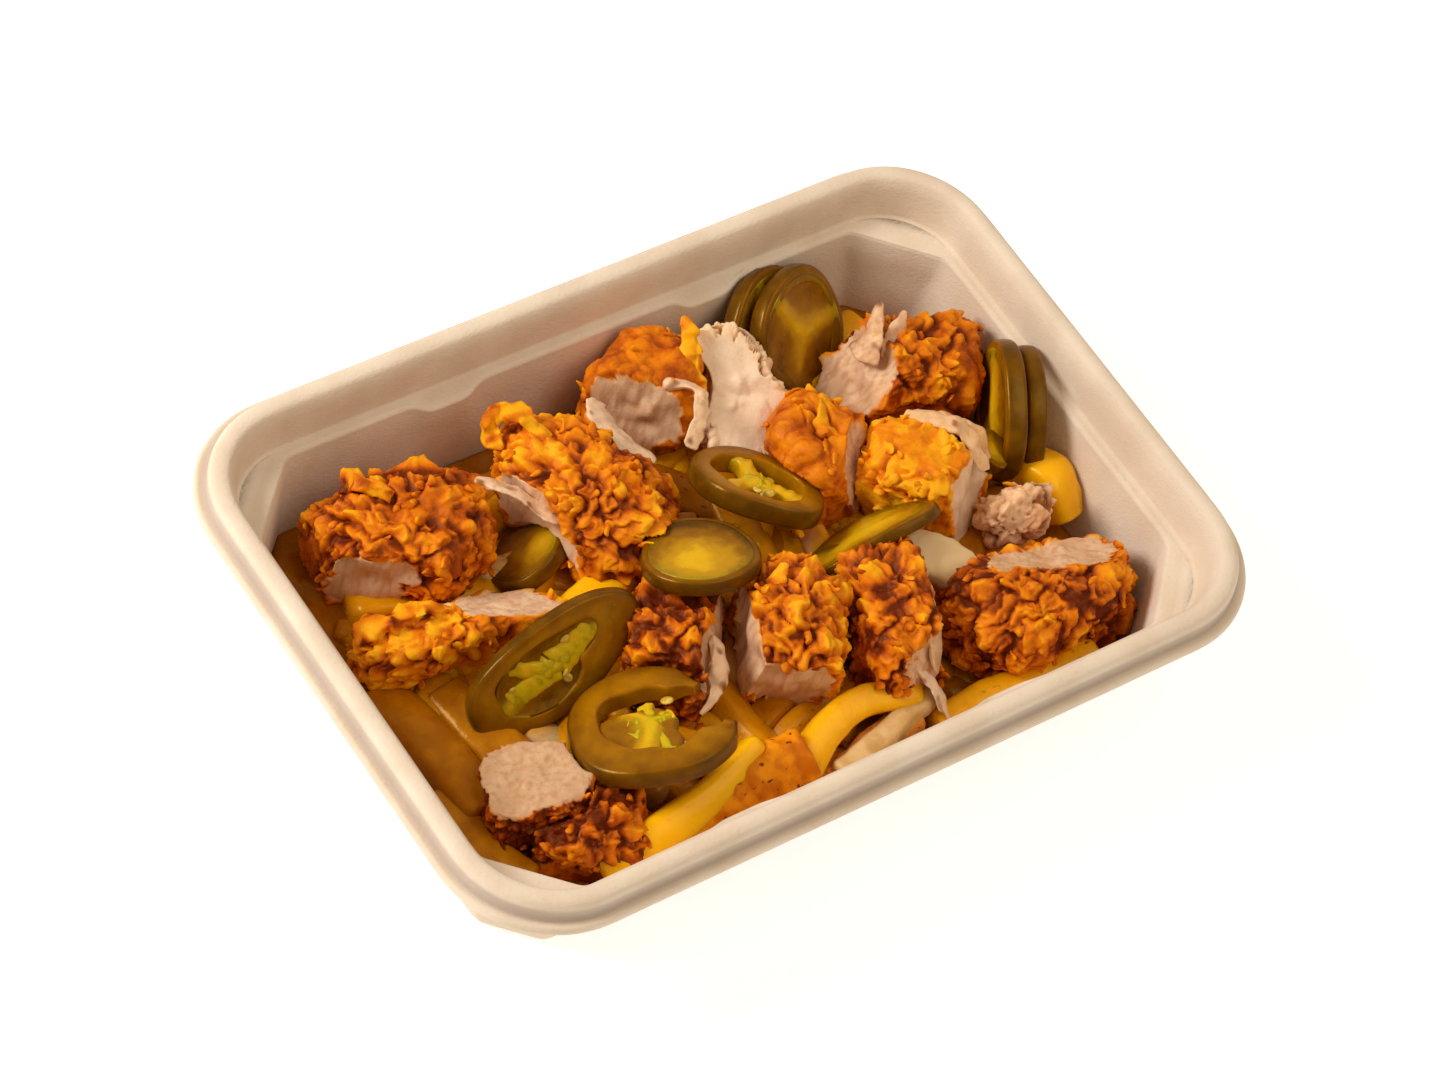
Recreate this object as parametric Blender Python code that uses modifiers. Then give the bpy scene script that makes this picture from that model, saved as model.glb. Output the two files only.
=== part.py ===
"""Takeaway tray of loaded fries: moulded-pulp tray, heap of fries, chopped crispy chicken, jalapeno slices.

Origin: centre of the flat base. +X along the tray, +Y across it, +Z up. Sizes below are millimetres.
"""

import math

import bmesh
import bpy
import numpy as np
from mathutils import Matrix, Vector

MM = 0.001                      # metres in a millimetre

# Tray, inner (upper) face of the pulp
TRAY_HALF = (115.0, 79.6)       # half length and half width over the rim
TRAY_CORNER = 28.9              # plan radius of the rim's corner
TRAY_WALL = 1.2                 # thickness of the pulp
RIM_TOP = 45.0
LEDGE_Z = 33.0                  # top of the stacking ledge
FLOOR_Z = TRAY_WALL             # upper face of the floor
LUG_FOOT_Z = 12.0               # the stacking lugs fade into the wall at this height
LUG_DEPTH = 3.0                 # how far a lug stands in at the ledge
LUG_DROP = 2.5                  # how far its top lies below the ledge
LUG_CENTRES = (-38.0, 39.0)     # along X, on both long walls
LUG_HALF = 5.5                  # half of a lug's flat face
LUG_SLOPE = 4.5                 # length of each flank
CORNER_STEPS = 4

# One row for each ring of the tray's upper face, from the rim's lip to the edge of the floor:
# inset from the rim's outline, height, chamfer leg at the corners (0 = plain arc).
TRAY_RINGS = (
    (0.0, 37.8, 0.0),
    (0.3, 39.2, 0.0),
    (2.2, 39.8, 0.0),
    (3.0, 43.0, 0.0),
    (5.4, RIM_TOP, 0.0),
    (8.2, 43.8, 0.0),
    (9.6, 39.6, 0.0),
    (11.0, 33.8, 0.0),
    (12.5, LEDGE_Z, 18.0),
    (13.4, 31.6, 18.0),
    (17.0, LUG_FOOT_Z, 14.0),
    (18.4, 4.6, 12.0),
    (19.6, 2.0, 11.0),
    (22.0, FLOOR_Z, 10.0),
)
ARC_SHRINK = 0.9                # arc radius lost for each millimetre of inset

# Food
CHUNK_GAP = 1.0                 # air left round a chunk, measured from its centre outwards
SLICE_GAP = 0.6                 # air left round a slice, along its normals
WALL_GAP = 0.9                  # air left between the food and the tray
FOOD_FLOOR = FLOOR_Z + 0.35
SPACE_RINGS = (                 # the room for food inside the tray, bottom to top, as in TRAY_RINGS
    (22.0, FOOD_FLOOR, 10.0),
    (18.4, 4.6, 12.0),
    (13.4, 31.6, 18.0),
    (13.4, RIM_TOP, 18.0),
)
CHUNK_SEGMENTS = 12
CHUNK_RINGS = 7
CHUNK_POWER = 3.0               # superellipsoid exponent: boxier than an egg
HEAP_STEP = 8.0                 # grid of the heap's upper face

# Chicken chunks, topmost first: centre, half sizes, yaw in degrees, and the knife cuts,
# each as the azimuth and elevation of the face and its distance from the centre.
CHICKEN = (
    ((-64.5, 39.5, 20.5), (25, 15.5, 13.5), -6, ((-130, 0, 13.5), (-20, 10, 21))),
    ((-68, 13, 21), (27, 9, 9), -6, ((68, 55, 5),)),
    ((-20, 27, 24), (24, 17, 14), -56, ((-170, 0, 13),)),
    ((11, 50, 24), (15, 14, 13), 18, ((-133, 15, 9),)),
    ((31, 39, 25), (16.5, 12, 13), 90, ((-112, 60, 5),)),
    ((40, 15, 23), (15, 12, 13), 84, ((-55, 25, 10),)),
    ((74, 29, 22), (23, 12, 14), -21, ((168, 30, 10),)),
    ((62.5, -1, 24), (18, 14, 13.5), -50, ((10, 34, 12), (-60, 20, 11.5))),
    ((77.5, -20, 22), (8, 7, 8), -16, ((-120, 20, 5),)),
    ((70, -43, 21), (27, 15, 15), 1, ((70, 52, 11),)),
    ((3, -26, 23), (19, 14, 14), 56, ((-121, -10, 13), (160, 0, 11))),
    ((29.5, -33.5, 23), (19.5, 12, 14), 72, ((-18, 8, 9.5), (-75, 22, 15))),
    ((-21, -15, 20), (17, 13, 13), 40, ((-42, 22, 9.5),)),
    ((-73, -32.5, 18.5), (12.5, 12, 12.5), 66, ((140, 74, 5.5), (60, 35, 11))),
    ((-66, -47, 14), (16, 10, 10), -24, ()),
    ((-82, 18, 12), (8, 7, 7), -28, ()),
)

# Jalapeno slices, topmost first: kind, centre, face normal, long axis, half long, half short,
# thickness and bow (how far the middle stands off the ends).
RING = "ring"                   # seed hollows between two or three ribs
DISC = "disc"                   # hollows closed with pith and seeds
HOOP = "hoop"                   # the ribs gone and the wall open at one side
JALAPENO = (
    (DISC, (-9.3, -2, 34), (0.03, 0.36, 0.93), (0.78, -0.61, 0.16), 13.8, 13.8, 4.4, 0.6),
    (RING, (18, 12, 29), (0.35, 0.29, 0.89), (0.64, -0.77, 0.0), 16.5, 14.0, 6.0, 1.0),
    (HOOP, (-43.5, -35.5, 28.5), (-0.13, 0.33, 0.93), (0.85, -0.44, 0.29), 20.0, 18.0, 6.0, 1.5),
    (RING, (-53.3, -7.5, 24.6), (-0.10, -0.82, 0.52), (0.92, 0.13, 0.36), 24.5, 12.0, 4.2, 2.0),
    (DISC, (35.5, -12.5, 27), (-0.23, 0.75, 0.62), (0.88, -0.12, 0.46), 19.0, 10.0, 3.5, 2.5),
    (DISC, (59, 51, 22), (0.25, -0.74, 0.62), (0.50, 0.63, 0.56), 16.5, 15.5, 5.0, 0.8),
    (DISC, (53.5, 55.5, 20.5), (0.25, -0.74, 0.62), (0.50, 0.63, 0.56), 16.0, 15.0, 5.0, 0.8),
    (DISC, (91, 6, 26), (-0.905, 0.424, 0.003), (0.35, 0.74, 0.575), 17.0, 14.0, 5.5, 0.5),
    (DISC, (96.5, 3.5, 25), (-0.905, 0.424, 0.003), (0.35, 0.74, 0.575), 16.0, 13.0, 5.0, 0.5),
    (DISC, (-38, 25, 16), (-0.41, 0.56, 0.73), (0.87, -0.02, 0.50), 10.5, 10.5, 4.5, 0.0),
    (DISC, (23, -13, 22), (-0.39, 0.60, 0.70), (0.87, -0.02, 0.50), 10.0, 7.0, 3.5, 0.5),
    (DISC, (80, -3, 27), (0.32, -0.34, 0.88), (0.10, -0.91, -0.39), 5.5, 4.5, 4.0, 0.0),
)
OUTLINE_STEPS = 16
HOLLOW_STEPS = 6

# Fries that stand out of the heap: start, end (x, y, top z) and half width of the ridge.
FRY_RIDGES = (
    ((-66, -57, 18), (-22, -48, 24), 6.0),
    ((-45, -57, 19), (-11, -52, 24), 8.0),
    ((-9, -56, 20), (9, -47, 23), 6.0),
    ((9, -47, 23), (24, -55, 21), 6.0),
    ((24, -55, 21), (0, -60, 19), 5.0),
    ((30, -57, 17), (72, -60, 18), 6.0),
    ((95, -8, 19), (96, -27, 20), 7.0),
    ((79, 49, 15), (60, 44, 12), 6.0),
    ((46, -18, 20), (57, -34, 20), 8.0),
    ((-48, 0, 18), (-22, 9, 20), 6.0),
    ((-89, 5, 16), (-84, -24, 16), 8.0),
    ((-75, 0, 16), (-70, -22, 16), 8.0),
    ((-88, -26, 13), (-88, -42, 12), 6.0),
)
HEAP_BASE = 11.0                # height of the heap between the ridges
HEAP_BACK_DROP = 6.0            # the heap is lower along the back wall
HEAP_BACK_Y = 48.0


def principled(name, colour, roughness):
    """Plain surface of one colour."""
    mat = bpy.data.materials.new(name)
    mat.use_nodes = True
    shader = mat.node_tree.nodes["Principled BSDF"]
    shader.inputs["Base Color"].default_value = (*colour, 1.0)
    shader.inputs["Roughness"].default_value = roughness
    shader.inputs["Metallic"].default_value = 0.0
    return mat


def add_object(name, mesh, collection, mat, matrix=None):
    """Puts a mesh in a collection as one named object."""
    obj = bpy.data.objects.new(name, mesh)
    mesh.materials.clear()
    mesh.materials.append(mat)
    if matrix is not None:
        obj.matrix_world = matrix
    collection.objects.link(obj)
    return obj


def lug_share(z):
    """How far a lug stands in at a height: fully at the ledge, not at its foot or on the collar."""
    if z > LEDGE_Z:
        return 0.0
    return max(0.0, (z - LUG_FOOT_Z) / (LEDGE_Z - LUG_FOOT_Z))


def tray_ring(inset, z, chamfer):
    """One ring of the tray: corner arcs or chamfers, and straight sides with the lugs, as (x, y, z)."""
    half_x = TRAY_HALF[0] - inset
    half_y = TRAY_HALF[1] - inset
    radius = TRAY_CORNER - ARC_SHRINK * inset
    share = lug_share(z)
    side = []
    for centre in LUG_CENTRES:
        for offset, height in ((-LUG_HALF - LUG_SLOPE, 0.0), (-LUG_HALF, share),
                               (LUG_HALF, share), (LUG_HALF + LUG_SLOPE, 0.0)):
            side.append((centre + offset, half_y - LUG_DEPTH * height, z - LUG_DROP * height))
    corner = []
    for step in range(CORNER_STEPS + 1):
        part = step / CORNER_STEPS
        angle = part * math.pi / 2
        if chamfer:
            corner.append((half_x - chamfer * part, half_y - chamfer * (1 - part), z))
        else:
            corner.append((half_x - radius * (1 - math.cos(angle)),
                           half_y - radius * (1 - math.sin(angle)), z))
    points = [(half_x, -half_y / 4, z), (half_x, half_y / 4, z)]
    points += corner
    points += reversed(side)
    points += [(-x, y, z) for x, y, z in reversed(corner)]
    points += [(-half_x, half_y / 4, z), (-half_x, -half_y / 4, z)]
    points += [(-x, -y, z) for x, y, z in corner]
    points += [(x, -y, z) for x, y, z in side]
    points += [(x, -y, z) for x, y, z in reversed(corner)]
    return points


def loft(rings, cap_start, cap_end):
    """Mesh of quads between rings of equal count, with flat faces over the named ends."""
    count = len(rings[0])
    verts = [tuple(c * MM for c in point) for ring in rings for point in ring]
    faces = []
    for row in range(len(rings) - 1):
        for i in range(count):
            j = (i + 1) % count
            low = row * count
            faces.append((low + i, low + j, low + count + j, low + count + i))
    if cap_start:
        faces.append(tuple(reversed(range(count))))
    if cap_end:
        faces.append(tuple(range((len(rings) - 1) * count, len(rings) * count)))
    mesh = bpy.data.meshes.new("loft")
    mesh.from_pydata(verts, [], faces)
    return mesh


def build_tray(collection, mat):
    """Pulp tray: one open surface from the lip over the rim and down to the floor, given its thickness."""
    rings = [tray_ring(*row) for row in TRAY_RINGS]
    tray = add_object("tray", loft(rings, False, True), collection, mat)
    shell = tray.modifiers.new("pulp", "SOLIDIFY")
    shell.thickness = TRAY_WALL * MM
    shell.offset = -1.0
    shell.use_even_offset = True
    tray.data.shade_smooth()
    tray.data.set_sharp_from_angle(angle=math.radians(50))
    return tray


def build_space(collection, mat):
    """The tray's inside, drawn in by the wall gap: the food is trimmed to it."""
    rings = [tray_ring(inset + WALL_GAP, z, chamfer) for inset, z, chamfer in SPACE_RINGS]
    space = add_object("inner_space", loft(rings, True, True), collection, mat)
    make_guide(space)
    return space


def make_guide(obj):
    """Marks an object as a cutter, which is no part of the model."""
    obj.hide_render = True
    obj.display_type = "WIRE"


def lumps(directions, seed):
    """Unevenness of a chunk: three slow waves over its directions, each along a random axis."""
    rng = np.random.default_rng(seed)
    total = np.zeros(len(directions))
    for frequency, height in ((2.3, 0.06), (3.7, 0.05), (6.1, 0.035)):
        axis = rng.normal(size=3)
        axis /= np.linalg.norm(axis)
        total += height * np.sin(frequency * directions @ axis + rng.uniform(0, 2 * math.pi))
    return 1.0 + total


def build_chunk(name, row, seed, collection, mat):
    """A lumpy superellipsoid with flat knife cuts."""
    centre, half, yaw, cuts = row
    bm = bmesh.new()
    bmesh.ops.create_uvsphere(bm, u_segments=CHUNK_SEGMENTS, v_segments=CHUNK_RINGS, radius=1.0)
    directions = np.array([v.co.normalized() for v in bm.verts])
    reach = (np.abs(directions / np.array(half)) ** CHUNK_POWER).sum(axis=1) ** (-1 / CHUNK_POWER)
    reach *= lumps(directions, seed)
    for vert, direction, radius in zip(bm.verts, directions, reach):
        vert.co = Vector(direction * radius * MM)
    turn = Matrix.Rotation(math.radians(yaw), 4, "Z")
    for azimuth, elevation, distance in cuts:
        normal = Vector((math.cos(math.radians(azimuth)) * math.cos(math.radians(elevation)),
                         math.sin(math.radians(azimuth)) * math.cos(math.radians(elevation)),
                         math.sin(math.radians(elevation))))
        local = turn.inverted() @ normal
        bmesh.ops.bisect_plane(bm, geom=bm.verts[:] + bm.edges[:] + bm.faces[:], dist=1e-6,
                               plane_co=local * distance * MM, plane_no=local, clear_outer=True)
        rim = [e for e in bm.edges if e.is_boundary]
        bmesh.ops.contextual_create(bm, geom=rim)
    bmesh.ops.recalc_face_normals(bm, faces=bm.faces)
    mesh = bpy.data.meshes.new(name)
    bm.to_mesh(mesh)
    bm.free()
    place = Matrix.Translation(Vector(centre) * MM) @ turn
    return add_object(name, mesh, collection, mat, place)


def add_outline(curve, points):
    """Closed flat outline on a 2D curve."""
    spline = curve.splines.new("POLY")
    spline.points.add(len(points) - 1)
    for target, (x, y) in zip(spline.points, points):
        target.co = (x * MM, y * MM, 0.0, 1.0)
    spline.use_cyclic_u = True


def slice_outline(half_long, half_short, share, angle):
    """Point of the pepper's three-lobed outline, at a share of the full radius."""
    radius = share * (1.0 + 0.025 * math.cos(3 * angle))
    return half_long * radius * math.cos(angle), half_short * radius * math.sin(angle)


def slice_curve(kind, half_long, half_short):
    """Outline and hollows of one slice as a filled 2D curve."""
    curve = bpy.data.curves.new("slice", "CURVE")
    curve.dimensions = "2D"
    curve.fill_mode = "BOTH"
    if kind == HOOP:
        wall, start, sweep = 0.70, math.radians(52), math.radians(322)
        steps = OUTLINE_STEPS - 2
        outer = [start + sweep * i / steps for i in range(steps + 1)]
        points = [slice_outline(half_long, half_short, 1.0, angle) for angle in outer]
        for angle in reversed(outer):
            pith = 0.34 * math.exp(-((angle - math.radians(250)) / 0.4) ** 2)
            points.append(slice_outline(half_long, half_short, wall - pith, angle))
        add_outline(curve, points)
        return curve
    full = [2 * math.pi * i / OUTLINE_STEPS for i in range(OUTLINE_STEPS)]
    add_outline(curve, [slice_outline(half_long, half_short, 1.0, angle) for angle in full])
    if kind == RING:
        for hollow in range(3):
            middle = 2 * math.pi * (hollow + 0.5) / 3
            points = []
            for step in range(HOLLOW_STEPS):
                phase = 2 * math.pi * step / HOLLOW_STEPS
                share = 0.48 + 0.24 * math.cos(phase)
                angle = middle + 0.62 * math.sin(phase)
                points.append(slice_outline(half_long, half_short, share, angle))
            add_outline(curve, points)
    return curve


def build_slice(name, row, collection, mat):
    """A pepper slice: filled outline, extruded, slightly bowed and laid on its face normal."""
    kind, centre, normal, long_axis, half_long, half_short, thickness, bow = row
    curve = slice_curve(kind, half_long, half_short)
    curve.extrude = thickness / 2 * MM
    guide = bpy.data.objects.new(name, curve)
    collection.objects.link(guide)
    mesh = mesh_of(guide)
    bpy.data.objects.remove(guide)
    bm = bmesh.new()
    bm.from_mesh(mesh)
    bmesh.ops.remove_doubles(bm, verts=bm.verts, dist=1e-6)
    bmesh.ops.triangulate(bm, faces=bm.faces)
    for vert in bm.verts:
        along = vert.co.x / (half_long * MM)
        vert.co.z += bow * MM * (0.5 - along * along)
    bmesh.ops.recalc_face_normals(bm, faces=bm.faces)
    bm.to_mesh(mesh)
    bm.free()
    up = Vector(normal).normalized()
    side = up.cross(Vector(long_axis)).normalized()
    forward = side.cross(up)
    place = Matrix((forward, side, up)).transposed().to_4x4()
    place.translation = Vector(centre) * MM
    return add_object(name, mesh, collection, mat, place)


def ridge_height(x, y):
    """Height of the heap: its base, lower along the back, with a rounded ridge over each fry."""
    base = HEAP_BASE + 1.2 * math.sin(x / 9.0 + y / 14.0) + 1.0 * math.sin(y / 7.0 - x / 17.0)
    if y > HEAP_BACK_Y:
        base -= HEAP_BACK_DROP * min(1.0, (y - HEAP_BACK_Y) / 8.0)
    height = base
    for (ax, ay, az), (bx, by, bz), half_width in FRY_RIDGES:
        length_sq = (bx - ax) ** 2 + (by - ay) ** 2
        share = min(1.0, max(0.0, ((x - ax) * (bx - ax) + (y - ay) * (by - ay)) / length_sq))
        away = math.hypot(x - ax - share * (bx - ax), y - ay - share * (by - ay)) / half_width
        if away < 1.0:
            height = max(height, base + (az + share * (bz - az) - base) * math.sqrt(1 - away ** 4))
    return height


def build_heap(collection, mat):
    """Heap of fries: a grid raised over the fries, closed by a skirt down to the floor."""
    steps_x = round(2 * TRAY_HALF[0] / HEAP_STEP)
    steps_y = round(2 * TRAY_HALF[1] / HEAP_STEP)
    bm = bmesh.new()
    bmesh.ops.create_grid(bm, x_segments=steps_x, y_segments=steps_y, size=1.0)
    for vert in bm.verts:
        x = vert.co.x * TRAY_HALF[0]
        y = vert.co.y * TRAY_HALF[1]
        vert.co = Vector((x, y, ridge_height(x, y))) * MM
    edge = [e for e in bm.edges if e.is_boundary]
    skirt = bmesh.ops.extrude_edge_only(bm, edges=edge)["geom"]
    for vert in (item for item in skirt if isinstance(item, bmesh.types.BMVert)):
        vert.co.z = -MM
    bmesh.ops.contextual_create(bm, geom=[e for e in bm.edges if e.is_boundary])
    bmesh.ops.recalc_face_normals(bm, faces=bm.faces)
    mesh = bpy.data.meshes.new("fries_heap")
    bm.to_mesh(mesh)
    bm.free()
    return add_object("fries_heap", mesh, collection, mat)


def mesh_of(obj):
    """The object's mesh with its modifiers applied."""
    bpy.context.view_layer.update()
    graph = bpy.context.evaluated_depsgraph_get()
    return bpy.data.meshes.new_from_object(obj.evaluated_get(graph))


def grown(obj, collection, mat):
    """Larger copy of a piece: the cutter for what lies under it.

    A chunk's points move away from its centre by the gap. A slice's move along their normals, and
    the hull round them closes its hollows, so that nothing under it stands up into them.
    """
    bm = bmesh.new()
    bm.from_mesh(obj.data)
    bm.normal_update()
    if obj.name.startswith("chicken"):
        for vert in bm.verts:
            vert.co += vert.co.normalized() * CHUNK_GAP * MM
    else:
        points = [vert.co + vert.normal * SLICE_GAP * MM for vert in bm.verts]
        bm.clear()
        for point in points:
            bm.verts.new(point)
        hull = bmesh.ops.convex_hull(bm, input=bm.verts)
        inner = set(hull["geom_interior"] + hull["geom_unused"])
        bmesh.ops.delete(bm, geom=[v for v in inner if isinstance(v, bmesh.types.BMVert)], context="VERTS")
        bmesh.ops.recalc_face_normals(bm, faces=bm.faces)
    mesh = bpy.data.meshes.new(obj.name)
    bm.to_mesh(mesh)
    bm.free()
    cutter = add_object("cut_" + obj.name, mesh, collection, mat, obj.matrix_world.copy())
    make_guide(cutter)
    return cutter


def world_box(obj):
    """Lowest and highest corner of an object's mesh in the world."""
    bpy.context.view_layer.update()
    points = np.array([obj.matrix_world @ v.co for v in obj.data.vertices])
    return points.min(axis=0), points.max(axis=0)


def add_boolean(obj, cutter, operation):
    """Boolean modifier with another object.

    The exact solver empties one of the chunks and leaves slivers, so the manifold one is used.
    """
    modifier = obj.modifiers.new(cutter.name, "BOOLEAN")
    modifier.operation = operation
    modifier.solver = "MANIFOLD"
    modifier.object = cutter


def largest_body(mesh):
    """Keeps the body with the most volume where a cut left several."""
    bm = bmesh.new()
    bm.from_mesh(mesh)
    bmesh.ops.triangulate(bm, faces=bm.faces)
    unseen = set(bm.faces)
    bodies = []
    while unseen:
        stack = [unseen.pop()]
        body = []
        while stack:
            face = stack.pop()
            body.append(face)
            for edge in face.edges:
                for other in edge.link_faces:
                    if other in unseen:
                        unseen.discard(other)
                        stack.append(other)
        volume = sum(f.verts[0].co.dot(f.verts[1].co.cross(f.verts[2].co)) for f in body)
        bodies.append((volume, body))
    bodies.sort(key=lambda entry: entry[0], reverse=True)
    for _, body in bodies[1:]:
        bmesh.ops.delete(bm, geom=body, context="FACES")
    bm.to_mesh(mesh)
    bm.free()
    return mesh


def settle(pieces, heap, space, cutters, mat):
    """Trims each piece by the ones above it and by the tray, and the heap by all of them."""
    boxes = [world_box(piece) for piece in pieces]
    tools = [grown(piece, cutters, mat) for piece in pieces]
    reach = CHUNK_GAP * MM
    for index, piece in enumerate(pieces):
        low, high = boxes[index]
        for above in range(index):
            if (boxes[above][0] < high + reach).all() and (boxes[above][1] > low - reach).all():
                add_boolean(piece, tools[above], "DIFFERENCE")
        add_boolean(piece, space, "INTERSECT")
    add_boolean(heap, space, "INTERSECT")
    for tool in tools:
        add_boolean(heap, tool, "DIFFERENCE")
    for piece in pieces + [heap]:
        mesh = largest_body(mesh_of(piece))
        piece.modifiers.clear()
        piece.data = mesh


def main():
    for obj in list(bpy.data.objects):
        bpy.data.objects.remove(obj)
    parts = bpy.data.collections.new("loaded_fries")
    cutters = bpy.data.collections.new("cutters")
    bpy.context.scene.collection.children.link(parts)
    bpy.context.scene.collection.children.link(cutters)
    pulp = principled("pulp", (0.78, 0.65, 0.50), 0.85)
    crust = principled("fried_chicken", (0.70, 0.25, 0.02), 0.55)
    pepper = principled("jalapeno", (0.21, 0.15, 0.01), 0.25)
    potato = principled("fries", (0.75, 0.38, 0.03), 0.40)
    guide = principled("guide", (0.5, 0.5, 0.5), 1.0)

    build_tray(parts, pulp)
    space = build_space(cutters, guide)
    slices = [build_slice(f"jalapeno_{i + 1:02d}", row, parts, pepper)
              for i, row in enumerate(JALAPENO)]
    chunks = [build_chunk(f"chicken_{i + 1:02d}", row, i + 1, parts, crust)
              for i, row in enumerate(CHICKEN)]
    heap = build_heap(parts, potato)
    settle(slices + chunks, heap, space, cutters, guide)


main()
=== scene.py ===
"""Takeaway tray of loaded fries, seen from the photograph's side. Sizes in the script are millimetres."""

import math

import bpy
import numpy as np
from mathutils import Matrix


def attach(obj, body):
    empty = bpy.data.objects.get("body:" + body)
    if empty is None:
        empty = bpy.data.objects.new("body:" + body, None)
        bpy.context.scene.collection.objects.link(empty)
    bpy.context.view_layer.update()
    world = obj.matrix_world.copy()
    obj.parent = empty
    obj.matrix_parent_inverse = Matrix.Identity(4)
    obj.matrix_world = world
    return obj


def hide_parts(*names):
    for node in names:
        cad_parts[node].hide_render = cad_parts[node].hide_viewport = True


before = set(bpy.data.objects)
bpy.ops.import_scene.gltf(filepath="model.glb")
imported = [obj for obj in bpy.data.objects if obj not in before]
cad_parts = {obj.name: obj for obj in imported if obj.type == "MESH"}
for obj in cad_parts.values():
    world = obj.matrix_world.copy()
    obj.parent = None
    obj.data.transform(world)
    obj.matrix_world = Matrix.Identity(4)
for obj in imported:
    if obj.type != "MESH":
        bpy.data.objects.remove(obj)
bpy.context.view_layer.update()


# ---------------------------------------------------------------------------
# Studio: a white sweep under one large soft lamp from the left and behind,
# and a dim warm room all round. The camera looks down on a near corner
# through a long lens, turned a little so that the tray lies askew.

MM = 0.001
CAMERA_AZIMUTH = math.radians(-49.92)
CAMERA_ELEVATION = math.radians(52.28)
CAMERA_ROLL = math.radians(20.0)
CAMERA_DISTANCE = 1189.0
CAMERA_SLIDE = (3.8, 6.8)               # the rim's centre, right of and above the picture's centre
CAMERA_LENS = 125.0
CAMERA_SENSOR = 36.0
RIM_HEIGHT = 45.0
KEY_TOWARDS = (-0.68, 0.46, 0.64)       # from the tray to the lamp
KEY_DISTANCE = 1100.0
KEY_SIZE = 420.0
KEY_POWER = 9.4
KEY_COLOUR = (1.0, 0.97, 0.98)
FILL_TOWARDS = (0.36, -0.36, 0.86)
FILL_DISTANCE = 1300.0
FILL_SIZE = 900.0
FILL_POWER = 4.2
FILL_COLOUR = (1.0, 0.96, 0.92)
ROOM_COLOUR = (1.0, 0.84, 0.66)
ROOM_STRENGTH = 0.46
SWEEP_COLOUR = (0.90, 0.91, 0.93)
SWEEP_GLOW_COLOUR = (0.94, 0.97, 1.0)
SWEEP_GLOW = 0.50                       # the floor's own light, which keeps it white in the tray's shadow
SWEEP_RADIUS = 2500.0
SWEEP_SIDES = 48
SWEEP_LEVELS = (-12.0, -0.2)            # its underside, and its top just below the tray's base


def camera_axes():
    """Unit vectors of the picture's right and up, and the way back to the camera."""
    az, el, roll = CAMERA_AZIMUTH, CAMERA_ELEVATION, CAMERA_ROLL
    back = np.array([math.sin(az) * math.cos(el), -math.cos(az) * math.cos(el), math.sin(el)])
    level = np.array([math.cos(az), math.sin(az), 0.0])
    upright = np.cross(back, level)
    right = level * math.cos(roll) + upright * math.sin(roll)
    up = upright * math.cos(roll) - level * math.sin(roll)
    return right, up, back


def place_by_axes(obj, axes, place):
    """Sets an object's axes, as columns, and its place in millimetres."""
    matrix = Matrix(np.stack(axes, axis=1).tolist()).to_4x4()
    matrix.translation = (np.asarray(place) * MM).tolist()
    obj.matrix_world = matrix
    bpy.context.scene.collection.objects.link(obj)


def soft_lamp(name, towards, distance, size, power, colour):
    """A square lamp that faces the tray."""
    light = bpy.data.lights.new(name, "AREA")
    light.size = size * MM
    light.energy = power
    light.color = colour
    back = np.array(towards) / np.linalg.norm(towards)
    right = np.cross((0.0, 0.0, 1.0), back)
    right /= np.linalg.norm(right)
    lamp = bpy.data.objects.new(name, light)
    place_by_axes(lamp, (right, np.cross(back, right), back), back * distance)
    return lamp


picture_right, picture_up, picture_back = camera_axes()
lens = bpy.data.cameras.new("camera")
lens.lens = CAMERA_LENS
lens.sensor_width = CAMERA_SENSOR
camera = bpy.data.objects.new("camera", lens)
camera_place = (np.array([0.0, 0.0, RIM_HEIGHT]) + picture_back * CAMERA_DISTANCE
                - picture_right * CAMERA_SLIDE[0] - picture_up * CAMERA_SLIDE[1])
place_by_axes(camera, (picture_right, picture_up, picture_back), camera_place)
bpy.context.scene.camera = camera
bpy.context.scene.view_settings.view_transform = "Standard"

soft_lamp("key", KEY_TOWARDS, KEY_DISTANCE, KEY_SIZE, KEY_POWER, KEY_COLOUR)
soft_lamp("fill", FILL_TOWARDS, FILL_DISTANCE, FILL_SIZE, FILL_POWER, FILL_COLOUR)
room = bpy.data.worlds.new("room")
room.use_nodes = True
room.node_tree.nodes["Background"].inputs["Color"].default_value = (*ROOM_COLOUR, 1.0)
room.node_tree.nodes["Background"].inputs["Strength"].default_value = ROOM_STRENGTH
bpy.context.scene.world = room


class Wire:
    """An output of a material's node. Arithmetic on it adds Math nodes."""

    def __init__(self, finish, socket):
        self.finish = finish
        self.socket = socket

    def math(self, operation, *values):
        return self.finish.node("ShaderNodeMath", {"operation": operation}, dict(enumerate(values)))

    def __add__(self, other):
        return self.math("ADD", self, other)

    def __sub__(self, other):
        return self.math("SUBTRACT", self, other)

    def __rsub__(self, other):
        return self.math("SUBTRACT", other, self)

    def __mul__(self, other):
        return self.math("MULTIPLY", self, other)

    def __pow__(self, other):
        return self.math("POWER", self, other)

    __radd__ = __add__
    __rmul__ = __mul__

    def step(self, low, high):
        """0 below low, 1 above high, smooth between them."""
        return self.finish.node("ShaderNodeMapRange", {"interpolation_type": "SMOOTHSTEP"},
                                {"Value": self, "From Min": low, "From Max": high})


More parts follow.
